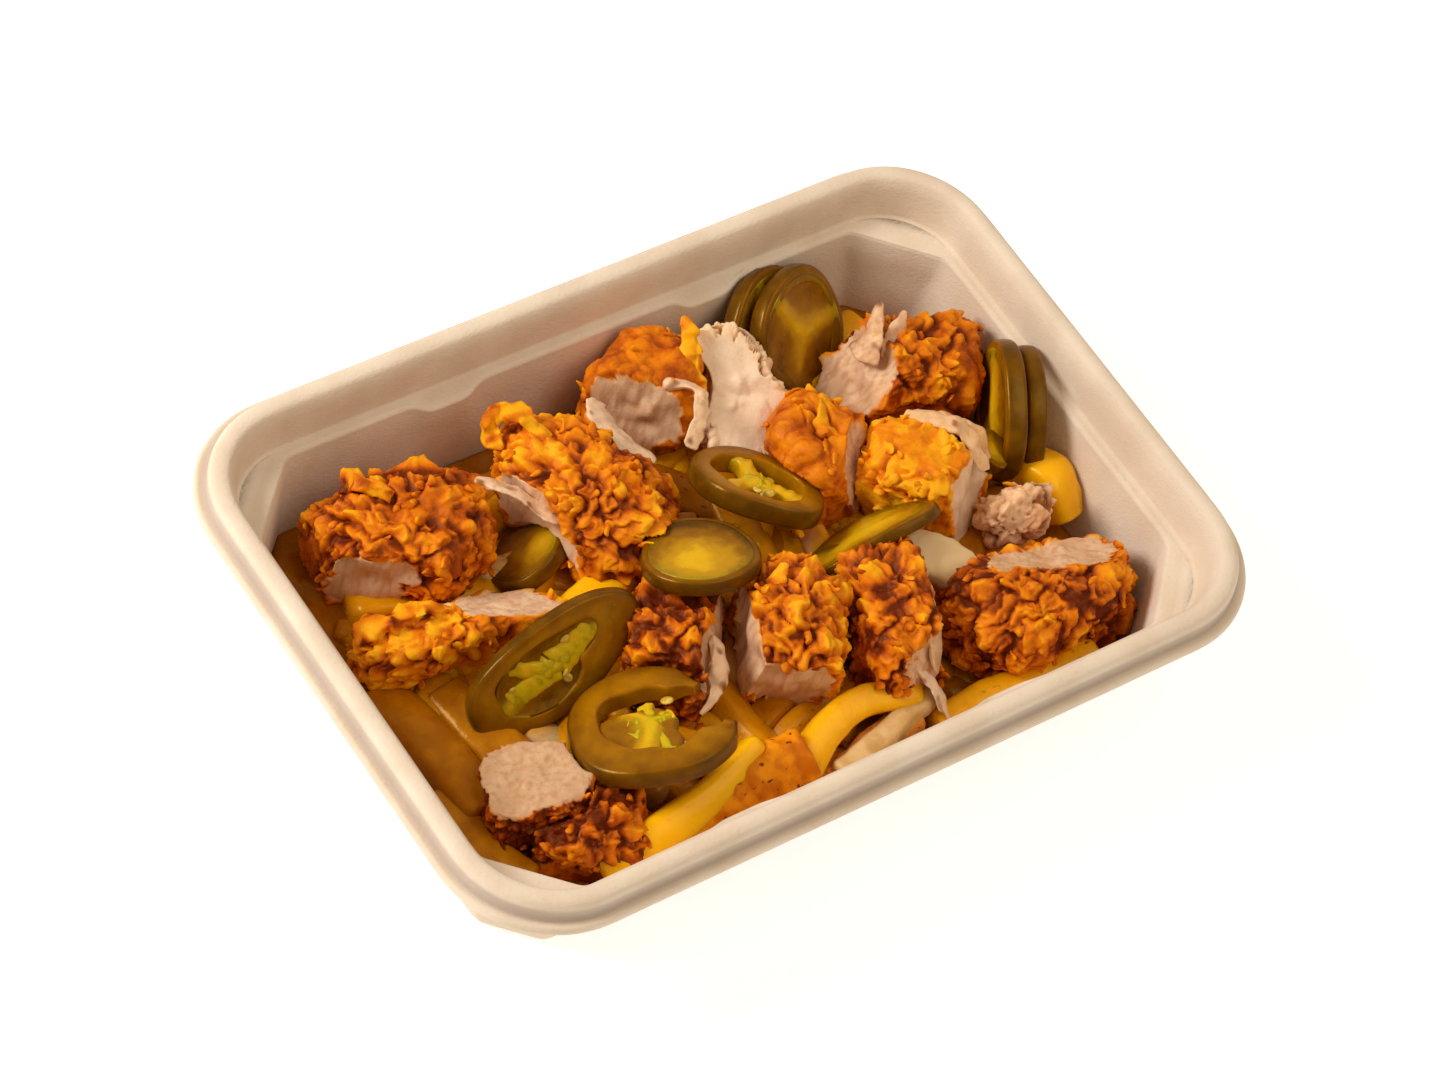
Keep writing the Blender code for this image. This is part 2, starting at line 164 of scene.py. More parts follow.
class Finish:
    """A material: one Principled shader and the nodes that feed it."""

    def __init__(self, name, **constants):
        self.material = bpy.data.materials.new(name)
        self.material.use_nodes = True
        self.tree = self.material.node_tree
        self.shader = self.tree.nodes["Principled BSDF"]
        for words, value in constants.items():
            self.feed(self.shader, words.replace("_", " ").title().replace("Ior", "IOR"), value)

    def feed(self, node, key, value):
        """Links a wire to an input, or sets the input to a number or a colour."""
        socket = node.inputs[key]
        if isinstance(value, Wire):
            self.tree.links.new(value.socket, socket)
        elif isinstance(value, tuple) and len(value) == 3 and socket.type == "RGBA":
            socket.default_value = (*value, 1.0)
        else:
            socket.default_value = value

    def node(self, kind, settings=None, inputs=None, output=0):
        """Any node: its type, its settings, then the values or wires of its inputs."""
        made = self.tree.nodes.new(kind)
        for key, value in (settings or {}).items():
            setattr(made, key, value)
        for key, value in (inputs or {}).items():
            self.feed(made, key, value)
        return Wire(self, made.outputs[output])

    def mix(self, share, first, second):
        """Colour between two colours."""
        return self.node("ShaderNodeMix", {"data_type": "RGBA"}, {0: share, 6: first, 7: second}, output=2)

    def noise(self, size, detail=2.0, stretch=(1.0, 1.0, 1.0), roughness=0.5):
        """Noise in the object's own space with features of a size in millimetres."""
        place = self.node("ShaderNodeTexCoord", output=3)
        turned = self.node("ShaderNodeMapping", {}, {"Vector": place, "Scale": stretch})
        return self.node("ShaderNodeTexNoise", {}, {"Vector": turned, "Scale": 1.0 / (size * MM),
                                                    "Detail": detail, "Roughness": roughness})

    def value(self, name):
        """A number kept on the mesh's points."""
        return self.node("ShaderNodeAttribute", {"attribute_name": name}, output=2)

    def bump(self, height, depth):
        """Fine relief of a depth in millimetres, on the shader's normal."""
        normal = self.node("ShaderNodeBump", {}, {"Height": height, "Distance": depth * MM, "Strength": 1.0})
        self.feed(self.shader, "Normal", normal)


def closed_skins(name, points, finish, values=None, looped=False):
    """Closed surfaces from grids of points (bodies, rows, columns, 3), in millimetres.

    Columns run round and rows run from one end to the other. Each end is closed by a fan to the mean of its
    row, or, when looped, the last row meets the first. Values are numbers for each point, kept on the mesh
    for the material.
    """
    bodies, rows, columns, _ = points.shape
    tips = () if looped else (0, -1)
    ends = points[:, tips].mean(axis=2) if tips else points[:, :0, 0]
    each = rows * columns + len(tips)
    place = np.concatenate([points.reshape(bodies, -1, 3), ends], axis=1).reshape(-1, 3)
    row, column = np.meshgrid(np.arange(rows if looped else rows - 1), np.arange(columns), indexing="ij")
    after = (column + 1) % columns
    below = (row + 1) % rows
    quads = np.stack([row * columns + column, row * columns + after,
                      below * columns + after, below * columns + column], axis=-1).reshape(-1, 4)
    turn = np.arange(columns)
    follow = (turn + 1) % columns
    last = (rows - 1) * columns
    fan_low = np.stack([follow, turn, np.full(columns, each - 2)], axis=-1)
    fan_high = np.stack([last + turn, last + follow, np.full(columns, each - 1)], axis=-1)
    fans = np.concatenate([fan_low, fan_high])[:columns * len(tips)]
    shift = (np.arange(bodies) * each)[:, None, None]
    corners = np.concatenate([(faces + shift).reshape(bodies, -1) for faces in (quads, fans)], axis=1)
    sizes = np.tile(np.concatenate([np.full(len(quads), 4), np.full(len(fans), 3)]), bodies)
    mesh = bpy.data.meshes.new(name)
    mesh.vertices.add(len(place))
    mesh.vertices.foreach_set("co", (place * MM).astype(np.float32).ravel())
    mesh.loops.add(corners.size)
    mesh.loops.foreach_set("vertex_index", corners.ravel().astype(np.int32))
    mesh.polygons.add(len(sizes))
    mesh.polygons.foreach_set("loop_start", (np.cumsum(sizes) - sizes).astype(np.int32))
    mesh.update(calc_edges=True)
    mesh.validate()
    mesh.shade_smooth()
    for key, grid in (values or {}).items():
        grid = np.broadcast_to(grid, points.shape[:3])
        at_ends = grid[:, tips].mean(axis=2) if tips else grid[:, :0, 0]
        layer = mesh.attributes.new(key, "FLOAT", "POINT")
        layer.data.foreach_set("value", np.concatenate([grid.reshape(bodies, -1), at_ends], axis=1)
                               .astype(np.float32).ravel())
    mesh.materials.append(finish.material)
    piece = bpy.data.objects.new(name, mesh)
    bpy.context.scene.collection.objects.link(piece)
    return piece


paper = Finish("white_sweep", base_color=SWEEP_COLOUR, roughness=0.9, emission_color=SWEEP_GLOW_COLOUR,
               emission_strength=SWEEP_GLOW)
spread = np.linspace(0.0, 2.0 * math.pi, SWEEP_SIDES, endpoint=False)
circle = np.stack([np.cos(spread), np.sin(spread)], axis=-1) * SWEEP_RADIUS
rings = np.stack([np.insert(circle, 2, level, axis=1) for level in SWEEP_LEVELS])
floor = closed_skins("floor", rings[None], paper)


# ---------------------------------------------------------------------------
# Tray: moulded sugar-cane pulp, pressed in one piece about 1.2 mm thick. A rolled
# rim with a small outer flange stands on a collar, then a stacking ledge, four lugs
# and sloping walls run down to a flat floor with cut-off corners.

TRAY_HALF = (115.0, 79.6)
TRAY_CORNER = 28.9
ARC_SHRINK = 0.9                        # how much of an inset a round corner's radius loses
PLAIN_CHAMFER = 9.0                     # a chamfer's leg from which no roundness is left
TRAY_WALL = 1.2
LEDGE_Z = 33.0
LEDGE_INSET = 11.0                      # the ledge's outer edge
LUG_FOOT_Z = 12.0
LUG_DEPTH = 1.8
LUG_DROP = 2.5
LUG_CENTRES = (-38.0, 39.0)
LUG_HALF = 5.5
LUG_SLOPE = 4.5
LUG_FADE = 1.5                          # how far in from the ledge's edge a lug reaches its full depth
# Profile of the upper face from the floor outwards: inset from the rim's outline, height, and the
# leg of the corner's chamfer (0 where the corner is round).
TRAY_PROFILE = np.array([
    (22.0, 1.2, 10.0), (19.6, 2.0, 11.0), (18.4, 4.6, 12.0), (17.0, 12.0, 14.0), (15.2, 22.0, 16.0),
    (13.6, 31.2, 18.0), (13.3, 32.4, 18.0), (12.7, 32.9, 18.0), (11.3, 33.1, 0.0), (10.6, 33.5, 0.0),
    (10.3, 34.8, 0.0), (9.6, 39.6, 0.0), (8.6, 43.0, 0.0), (7.4, 44.6, 0.0), (5.4, 45.0, 0.0),
    (3.8, 44.5, 0.0), (3.0, 43.2, 0.0), (2.7, 40.4, 0.0), (2.1, 39.5, 0.0), (0.6, 39.5, 0.0),
    (0.0, 38.6, 0.0), (0.0, 37.8, 0.0)])
# Where the painted shade in the groove lies and how it fades.
GROOVE_INSET = 2.5                      # the groove outside the rim's roll: inset, half width, top and fade
GROOVE_REACH = 0.8
GROOVE_TOP = 43.6
GROOVE_FADE = 1.5
LIP_DROP = 0.25
PROFILE_PARTS = 4                       # rows of points from one line of the profile to the next
FLOOR_ROWS = 8
CORNER_POINTS = 26
LONG_POINTS = 72
SHORT_POINTS = 16
RING_ROUNDS, NORMAL_ROUNDS, SKIN_ROUNDS = 3, 6, 4    # rounds of smoothing
PULP_CREAM = ((0.74, 0.60, 0.44), (0.80, 0.67, 0.51))
PULP_FLECK = (0.58, 0.43, 0.28)
PULP_STRAND = (0.88, 0.78, 0.64)
# Painted shade for the groove outside the rim's roll.
PULP_DENSE = (0.42, 0.33, 0.27)


def eased(share):
    """Smooth step from 0 to 1: three times the share's square less twice its cube."""
    share = np.clip(share, 0.0, 1.0)
    return share * share * (3.0 - 2.0 * share)


def tray_quarter(inset, leg):
    """A quarter of one ring, from the middle of the right end to the middle of the back wall.

    Straight half side, corner, straight half side. The corner is an arc about its own centre, or a
    straight chamfer of the leg's length, eased from one to the other by how long the leg is.
    """
    half_x = TRAY_HALF[0] - inset
    half_y = TRAY_HALF[1] - inset
    radius = TRAY_CORNER - ARC_SHRINK * inset
    share = np.linspace(0.0, 1.0, CORNER_POINTS)
    flat = eased(leg / PLAIN_CHAMFER)
    reach = radius * (1 - flat) + leg * flat
    arc = np.stack([half_x - reach * (1 - np.cos(share * math.pi / 2)),
                    half_y - reach * (1 - np.sin(share * math.pi / 2))], axis=-1)
    chamfer = np.stack([half_x - reach * share, half_y - reach * (1 - share)], axis=-1)
    corner = arc * (1 - flat) + chamfer * flat
    end_y = np.linspace(0.0, half_y - reach, SHORT_POINTS, endpoint=False)
    end = np.stack([np.full_like(end_y, half_x), end_y], axis=-1)
    side_x = np.linspace(half_x - reach, 0.0, LONG_POINTS + 1)[1:]
    side = np.stack([side_x, np.full_like(side_x, half_y)], axis=-1)
    return np.concatenate([end, corner, side])


def tray_ring(inset, height, leg):
    """One ring: four mirrored quarters, the lugs pressed into the long walls, and its bends smoothed."""
    quarter = tray_quarter(inset, leg)
    left = (quarter * (-1, 1))[::-1][1:]
    back = np.concatenate([quarter, left])
    front = (back * (1, -1))[::-1][1:-1]
    ring = np.concatenate([back, front])
    nearest = np.min([np.abs(ring[:, 0] - centre) for centre in LUG_CENTRES], axis=0)
    along = eased((LUG_HALF + LUG_SLOPE - nearest) / LUG_SLOPE)
    on_side = np.abs(ring[:, 1]) > TRAY_HALF[1] - inset - 0.01
    up_wall = np.clip((height - LUG_FOOT_Z) / (LEDGE_Z - LUG_FOOT_Z), 0.0, 1.0)
    lug = along * on_side * up_wall * eased((inset - LEDGE_INSET) / LUG_FADE)
    inward = np.sign(ring[:, 1]) * LUG_DEPTH * lug
    ring = np.stack([ring[:, 0], ring[:, 1] - inward, height - LUG_DROP * lug], axis=-1)
    for _ in range(RING_ROUNDS):
        ring = 0.5 * ring + 0.25 * (np.roll(ring, 1, axis=0) + np.roll(ring, -1, axis=0))
    return ring


def along_profile(profile, parts):
    """Points that split each step of a profile evenly, on a curve through its rows (cubic, mean slopes)."""
    gap = np.linalg.norm(np.diff(profile[:, :2], axis=0), axis=1)
    travel = np.concatenate([[0.0], np.cumsum(gap)])
    slope = np.gradient(profile, travel, axis=0)
    at = np.arange(len(gap) * parts + 1)
    index = np.minimum(at // parts, len(gap) - 1)
    part = (at / parts - index)[:, None]
    width = gap[index][:, None]
    return ((2 * part ** 3 - 3 * part ** 2 + 1) * profile[index]
            + (part ** 3 - 2 * part ** 2 + part) * width * slope[index]
            + (3 * part ** 2 - 2 * part ** 3) * profile[index + 1]
            + (part ** 3 - part ** 2) * width * slope[index + 1])


def surface_normals(grid, upwards):
    """Unit normals of a grid that is closed along its columns; flat spots take the given direction."""
    down_rows = np.gradient(grid, axis=0)
    round_columns = (np.roll(grid, -1, axis=1) - np.roll(grid, 1, axis=1)) / 2
    normal = np.cross(down_rows, round_columns)
    length = np.linalg.norm(normal, axis=-1, keepdims=True)
    return np.where(length > 1e-9, normal / np.maximum(length, 1e-9), np.array(upwards))


def build_tray():
    """The upper face from the middle of the floor out to the lip, and the lower face back, one wall apart.

    Returns the points and each row's painted shade, most in the groove outside the rim's roll.
    """
    rows = along_profile(TRAY_PROFILE, PROFILE_PARTS)
    wall = np.stack([tray_ring(inset, height, max(leg, 0.0)) for inset, height, leg in rows])
    share = np.linspace(0.02, 1.0, FLOOR_ROWS, endpoint=False)[:, None, None]
    base = wall[0][None] * np.array([1.0, 1.0, 0.0]) * share + np.array([0.0, 0.0, TRAY_WALL])
    upper = np.concatenate([base, wall])
    normal = surface_normals(upper, (0.0, 0.0, 1.0))
    for _ in range(NORMAL_ROUNDS):
        normal[1:-1] = 0.5 * normal[1:-1] + 0.25 * (normal[2:] + normal[:-2])
        normal = 0.5 * normal + 0.25 * (np.roll(normal, 1, axis=1) + np.roll(normal, -1, axis=1))
    normal /= np.linalg.norm(normal, axis=-1, keepdims=True)
    lower = upper - normal * TRAY_WALL
    for _ in range(SKIN_ROUNDS):
        lower[1:-1] = 0.5 * lower[1:-1] + 0.25 * (lower[2:] + lower[:-2])
    lower[..., 2] = np.maximum(lower[..., 2], 0.0)
    middle = (upper[-1] + lower[-1]) / 2 - np.array([0.0, 0.0, LIP_DROP])
    grid = np.concatenate([lower, middle[None], upper[::-1]])
    # Painted shade: strongest in the groove outside the rim's roll.
    groove = np.exp(-((rows[:, 0] - GROOVE_INSET) / GROOVE_REACH) ** 2)
    groove = groove * eased((GROOVE_TOP - rows[:, 1]) / GROOVE_FADE)
    dense = np.concatenate([np.zeros(len(lower) + 1), groove[::-1], np.zeros(FLOOR_ROWS)])
    return grid[:, ::-1], dense


def pulp_finish():
    """Cream pulp: mottled, with fibres of two lengths and a soft tooth, and painted shade in the rim's
    groove.
    """
    pulp = Finish("pulp", roughness=0.82, specular_ior_level=0.25)
    cloudy = pulp.noise(14.0, 3.0)
    fibres = pulp.noise(1.1, 3.0, (1.0, 1.0, 2.2))
    strands = pulp.noise(0.45, 2.0, (0.35, 1.0, 1.0))
    cream = pulp.mix(cloudy.step(0.35, 0.65), *PULP_CREAM)
    flecked = pulp.mix(fibres.step(0.60, 0.80) * 0.35, cream, PULP_FLECK)
    pale = pulp.mix(strands.step(0.62, 0.80) * 0.35, flecked, PULP_STRAND)
    # Painted shade: the groove outside the rim's roll is darkened.
    pulp.feed(pulp.shader, "Base Color", pulp.mix(pulp.value("dense") * 0.7, pale, PULP_DENSE))
    pulp.bump(fibres * 0.6 + strands * 0.4, 0.22)
    return pulp


grid, dense = build_tray()
tray = closed_skins("pulp_tray", grid[None], pulp_finish(), {"dense": dense[:, None]})
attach(tray, "root")
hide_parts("tray")

# ---------------------------------------------------------------------------
# Jalapeno: pickled pepper cut across in slices 3 to 6 mm thick. Each is a glossy olive wall round
# three seed hollows, with yellow-green pith in spokes and flat pale seeds on it.

RING, DISC, HOOP = "ring", "disc", "hoop"
# Kind, centre, face normal, long axis, half length, half width, thickness and bow, topmost first.
JALAPENO = (
    (DISC, (-9.3, -2, 34), (0.03, 0.36, 0.93), (0.78, -0.61, 0.16), 13.8, 13.8, 4.4, 0.6),
    (RING, (18, 12, 29), (0.35, 0.29, 0.89), (0.64, -0.77, 0.0), 16.5, 14.0, 6.0, 1.0),
    (HOOP, (-43.5, -35.5, 28.5), (-0.13, 0.33, 0.93), (0.85, -0.44, 0.29), 20.0, 18.0, 6.0, 1.5),
    (RING, (-53.3, -7.5, 24.6), (-0.10, -0.82, 0.52), (0.92, 0.13, 0.36), 24.5, 12.0, 4.2, 2.0),
    (DISC, (35.5, -12.5, 27), (-0.23, 0.75, 0.62), (0.88, -0.12, 0.46), 19.0, 10.0, 3.5, 2.5),
    (DISC, (59, 51, 22), (0.25, -0.74, 0.62), (0.50, 0.63, 0.56), 16.5, 15.5, 5.0, 0.8),
    (DISC, (53.5, 55.5, 20.5), (0.25, -0.74, 0.62), (0.50, 0.63, 0.56), 16.0, 15.0, 5.0, 0.8),
    (DISC, (91, 6, 26), (-0.905, 0.424, 0.003), (0.35, 0.74, 0.575), 17.0, 14.0, 5.5, 0.5),
    (DISC, (96.5, 3.5, 25), (-0.905, 0.424, 0.003), (0.35, 0.74, 0.575), 16.0, 13.0, 5.0, 0.5),
    (DISC, (-38, 25, 16), (-0.41, 0.56, 0.73), (0.87, -0.02, 0.50), 10.5, 10.5, 4.5, 0.0),
    (DISC, (23, -13, 22), (-0.39, 0.60, 0.70), (0.87, -0.02, 0.50), 10.0, 7.0, 3.5, 0.5),
    (DISC, (80, -3, 27), (0.32, -0.34, 0.88), (0.10, -0.91, -0.39), 5.5, 4.5, 4.0, 0.0),
)
WALL_SHARE = {RING: 0.30, DISC: 0.24, HOOP: 0.37}    # wall of a slice, as a share of its radius
# Where a slice's wall is thicker, by its number: the angle in degrees, how much of the radius, and how
# far round it reaches.
BULGES = {3: (262, 0.16, 0.60), 4: (-32, 0.34, 0.85)}
HOOP_START, HOOP_SWEEP = 48.0, 308.0    # degrees
# Pith of a slice by its number: each spoke's angle in degrees, the share of the radius that it
# reaches out to and its width in millimetres. The long slice has one broad band along it, and the
# open hoop has a small star on one spoke.
PLAIN_SPOKES = ((0, 0.78, 3.4), (120, 0.78, 2.8), (240, 0.78, 3.0))
SPOKES = {
    3: ((-80, 0.66, 2.6), (96, 0.30, 2.6), (25, 0.26, 2.8), (172, 0.30, 2.4), (230, 0.34, 2.4)),
    4: ((14, 0.84, 4.6), (186, 0.84, 4.2), (122, 0.78, 3.0)),
}
# Pith that closes a slice: ribs across it, the first rib's angle in degrees, how deep the hollows between
# them sag as a share of the thickness, how evenly it brightens from the middle (1) or along the ribs (0), and
# where painted light falls most, with painted shade on the far side and its wall: an angle in degrees and a
# share of the radius.
PLAIN_FILL = (3, 20, 0.10, 1.0, 0, 0.0)
FILLS = {1: (3, 20, 0.08, 1.0, -90, 0.30), 3: (3, 20, 0.16, 0.15, 0, 0.0), 4: (2, 10, 0.34, 0.0, 0, 0.0),
         5: (3, 20, 0.10, 1.3, 0, 0.0), 6: (3, 186, 0.24, 0.1, 6, 0.40), 7: (3, 40, 0.26, 0.2, 0, 0.0),
         8: (2, 0, 0.22, 0.0, 0, 0.0), 9: (2, 0, 0.22, 0.0, 0, 0.0), 10: (3, 20, 0.10, 0.9, 0, 0.45)}
# How far out a fill reaches, as shares of the radius: the angle of its further side, its reach on the other
# side and how much further it reaches there.
PLAIN_REACH = (0, 0.90, 0.0)
FILL_REACH = {3: (235, 0.30, 0.46), 4: (0, 0.72, 0.0)}
SEEDS_IN = {2: 6, 3: 2, 4: 6}
SEED_HALF = (1.7, 1.35, 0.5)            # half sizes of a seed
ROUND_POINTS, HOOP_POINTS = 120, 130    # points along a wall
HOOP_TAPER = 9.0                        # points over which each end of the open hoop thins
WALL_COLUMNS = 32
SPOKE_POINTS = 16
FILL_COLUMNS, FILL_ROWS = 96, 26
SLICE_GAP = 0.5                         # what lies under a slice keeps this far away
PEPPER_INNER = ((0.27, 0.102, 0.0008), (0.38, 0.158, 0.001))
PEPPER_VEIN = (0.50, 0.25, 0.003)
PEPPER_OUTER = ((0.160, 0.056, 0.0006), (0.235, 0.086, 0.0008))
# The rind's colour, also used as painted shade on the far side of some slices' walls.
PEPPER_RIND = ((0.100, 0.038, 0.0006), (0.165, 0.064, 0.0008))
# Pith colours from the wall to the middle; on some slices they also paint light and shade.
PITH_DEEP = ((0.11, 0.036, 0.0006), (0.28, 0.108, 0.001))
PITH_EDGE = (0.52, 0.265, 0.003)
PITH_GLOW = (0.74, 0.43, 0.006)
SEED_SHADES = ((0.55, 0.33, 0.02), (0.78, 0.55, 0.10))
# The room for food inside the tray: insets of the walls by height, the corners' chamfer and the floor.
WALL_HEIGHTS = (2.0, 31.6, 34.0, 45.0)
WALL_INSETS = (20.4, 14.4, 11.8, 8.6)
CORNER_LEG = 12.5
FLOOR_TOP = 1.7


def within_tray(place):
    """Points drawn back inside the tray: above its floor, off its sloping walls and off the cut corners."""
    inset = np.interp(place[..., 2], WALL_HEIGHTS, WALL_INSETS)
    x = np.clip(place[..., 0], inset - TRAY_HALF[0], TRAY_HALF[0] - inset)
    y = np.clip(place[..., 1], inset - TRAY_HALF[1], TRAY_HALF[1] - inset)
    corner = np.abs(x) + np.abs(y) - (sum(TRAY_HALF) - 2 * inset - CORNER_LEG)
    back = np.maximum(corner, 0.0) / 2
    z = np.maximum(place[..., 2], FLOOR_TOP)
    return np.stack([x - np.sign(x) * back, y - np.sign(y) * back, z], axis=-1)


def slice_axes(row):
    """Forward, side and up of a slice: up is its normal, forward its long axis made square to it."""
    up = np.array(row[2], float)
    up /= np.linalg.norm(up)
    side = np.cross(up, row[3])
    side /= np.linalg.norm(side)
    return np.stack([np.cross(side, up), side, up])


def on_slice(row, local):
    """From a slice's own millimetres to the tray's: bowed along its length, turned and put in place."""
    along = local[..., 0] / row[4]
    bowed = local + np.stack([along * 0, along * 0, row[7] * (0.5 - along * along)], axis=-1)
    return within_tray(bowed @ slice_axes(row) + np.array(row[1], float))


def inside_slice(place, row, gap):
    """Whether points lie in a slice or within a gap of it."""
    local = (place - np.array(row[1], float)) @ slice_axes(row).T
    along = local[..., 0] / (row[4] + gap)
    across = local[..., 1] / (row[5] + gap)
    above = local[..., 2] - row[7] * (0.5 - np.minimum(along * along, 1.0))
    return (along ** 2 + across ** 2 < 1.0) & (np.abs(above) < row[6] / 2 + gap)


def outline(row, seed, share, angle):
    """Point on a slice at a share of the full radius: an oval with three lobes and a slow waver."""
    waver = 0.02 * np.sin(2 * angle + seed) + 0.012 * np.sin(5 * angle + 2.3 * seed)
    radius = share * (1.0 + 0.028 * np.cos(3 * angle) + waver)
    return np.stack([row[4] * radius * np.cos(angle), row[5] * radius * np.sin(angle)], axis=-1)


def squared(turn, power):
    """Cosine and sine of a turn with their sizes raised to a power: a circle that nears a square below 1."""
    return (np.sign(np.cos(turn)) * np.abs(np.cos(turn)) ** power,
            np.sign(np.sin(turn)) * np.abs(np.sin(turn)) ** power)


def slice_wall(row, seed):
    """The pepper's wall: a flat-faced bar carried round the outline, its outer side crowned. Returns the
    points and how near each is to the rind, 0 at the inner side and 1 on it, raised by painted shade on one
    side of some slices."""
    kind = row[0]
    if kind == HOOP:
        angle = np.radians(np.linspace(HOOP_START, HOOP_START + HOOP_SWEEP, HOOP_POINTS))
        from_start = np.arange(HOOP_POINTS)
        end = eased(np.minimum(from_start, from_start[::-1]) / HOOP_TAPER)
    else:
        angle = np.linspace(0.0, 2 * math.pi, ROUND_POINTS, endpoint=False)
        end = np.ones(ROUND_POINTS)
    wide, high = squared(np.linspace(0.0, 2 * math.pi, WALL_COLUMNS, endpoint=False), 0.38)
    uneven = 1.0 + 0.12 * np.sin(3 * angle + seed) + 0.05 * np.sin(7 * angle)
    wall = WALL_SHARE[kind] * uneven - 0.10 * (1 - end)
    if seed in BULGES:
        where, size, width = BULGES[seed]
        wall = wall + size * np.exp(-2.0 * (1.0 - np.cos(angle - math.radians(where))) / width ** 2)
    middle = 1.0 - wall / 2
    share = middle[:, None] + (wall[:, None] / 2) * wide * (0.45 + 0.55 * end[:, None])
    share = share + 0.03 * (wide > 0) * (1 - np.abs(high) ** 3)
    flat = outline(row, seed, share, angle[:, None])
    hollow = (1 - wide) / 2 if kind == DISC else np.cos(math.pi * wide / 2)
    dished = 1.0 - 0.10 * hollow * np.abs(high)
    level = row[6] / 2 * high * dished * (0.55 + 0.45 * end[:, None])
    local = np.concatenate([flat, level[..., None]], axis=-1)
    *_, glow_side, glow_shift = FILLS.get(seed, PLAIN_FILL)
    # Painted shade: on some slices the wall takes the rind's colour on the side away from the painted light.
    away = glow_shift * (1.0 - np.cos(angle - math.radians(glow_side)))[:, None]
    skin = 0.35 * (wide + 1) / 2 + 0.65 * eased((wide - 0.80) / 0.18) + 0.9 * away
    return on_slice(row, local), skin


def slice_spokes(row, seed, spokes):
    """Pith: waisted flat-topped bars from a lumpy middle out to the wall. Returns the points and how near
    each is to the middle."""
    angle, out, width = np.array(spokes, float).T
    along = np.linspace(0.0, 1.0, SPOKE_POINTS)
    wide, high = squared(np.linspace(0.0, 2 * math.pi, SPOKE_POINTS, endpoint=False), 0.6)
    share = 0.01 + (out[:, None] - 0.01) * along
    angle = np.radians(angle)[:, None] + 0.10 * np.sin(4.0 * along + seed + angle[:, None])
    flare = 0.72 + 0.42 * np.abs(2 * along - 1) ** 2.2 * np.where(out[:, None] > 0.5, 1.0, 0.25)
    tall = row[6] * (0.40 - 0.07 * np.sin(math.pi * along) + 0.03 * np.sin(9 * along + seed))
    centre = outline(row, seed, share, angle)
    across = np.stack([-np.sin(angle), np.cos(angle)], axis=-1)
    aside = (flare * width[:, None])[..., None] * wide
    local = np.zeros((len(spokes), SPOKE_POINTS, SPOKE_POINTS, 3))
    local[..., :2] = centre[:, :, None] + across[:, :, None] * aside[..., None]
    local[..., 2] = (tall[:, None] * high)[None]
    local += 0.25 * np.sin(local[..., ::-1] * 2.1 + seed)
    return on_slice(row, local), (1.0 - 0.5 * share)[..., None]


def slice_fill(row, seed):
    """Pith that closes a slice's hollows, or one side of them: a lens whose faces sag between its ribs.
    Returns the points and the brightness of each, 0 to 1: the pith's own tone, plus painted light and shade
    on some slices."""
    ribs, first, depth, even, glow_side, glow_shift = FILLS.get(seed, PLAIN_FILL)
    side, least, further = FILL_REACH.get(seed, PLAIN_REACH)
    edge = 0.505 if row[0] == DISC else 0.45
    turn = np.linspace(0.0, 2 * math.pi, FILL_COLUMNS, endpoint=False)
    outwards = np.linspace(0.02, 1.0, FILL_ROWS)
    share = np.concatenate([outwards, outwards[::-1]])[:, None]
    face = np.repeat((-1.0, 1.0), FILL_ROWS)[:, None]
    out = share * (least + further * eased((np.cos(turn - math.radians(side)) + 0.25) / 0.9))[None]
    rib = np.exp(-(share * np.sin(ribs / 2 * (turn - math.radians(first)))[None] / 0.30) ** 2)
    sag = np.sin(math.pi * share) ** 0.8 * (1.0 - 0.6 * rib)
    thick = row[6] * (edge - depth * sag - 0.36 * (share ** 8) * (further > 0))
    local = np.concatenate([outline(row, seed, out, turn[None]), (thick * face)[..., None]], axis=-1)
    # Painted light: on some slices the brightest spot sits off the middle towards one side, and the far side
    # falls to painted shade.
    towards_glow = np.cos(turn - math.radians(glow_side))
    from_glow = np.sqrt(out ** 2 + glow_shift ** 2 - 2 * out * glow_shift * towards_glow)
    glow = even * (1.0 - from_glow) + (1.0 - even) * 0.8 * rib * (1.0 - 0.6 * from_glow ** 2)
    return on_slice(row, local), glow


def slice_seeds(row, seed, count):
    """Seeds: flat lumpy ovals about 3.2 mm long, leaning in the hollows beside the pith."""
    rng = np.random.default_rng(900 + seed)
    hollow = rng.integers(0, 3, count)
    angle = np.radians(60.0 + 120.0 * hollow) + rng.uniform(-0.55, 0.55, count)
    spot = outline(row, seed, rng.uniform(0.26, 0.52, count), angle)
    down, turn = np.meshgrid(np.linspace(0.25, math.pi - 0.25, 6),
                             np.linspace(0, 2 * math.pi, 10, endpoint=False), indexing="ij")
    ball = np.stack([np.sin(down) * np.cos(turn), np.sin(down) * np.sin(turn), np.cos(down)], axis=-1)
    yaw, lean = rng.uniform(0, 2 * math.pi, count), rng.uniform(-0.9, 0.9, count)
    cos, sin, zero, one = np.cos(yaw), np.sin(yaw), np.zeros(count), np.ones(count)
    flat = np.stack([np.stack([cos, -sin, zero], -1), np.stack([sin, cos, zero], -1),
                     np.stack([zero, zero, one], -1)], axis=1)
    tip = np.stack([np.stack([np.cos(lean), zero, np.sin(lean)], -1), np.stack([zero, one, zero], -1),
                    np.stack([-np.sin(lean), zero, np.cos(lean)], -1)], axis=1)
    local = np.einsum("ijk,rck->ircj", flat @ tip, ball * SEED_HALF)
    lift = np.stack([spot[:, 0], spot[:, 1], rng.uniform(-0.1, 0.35, count) * row[6]], axis=-1)
    return on_slice(row, local + lift[:, None, None])


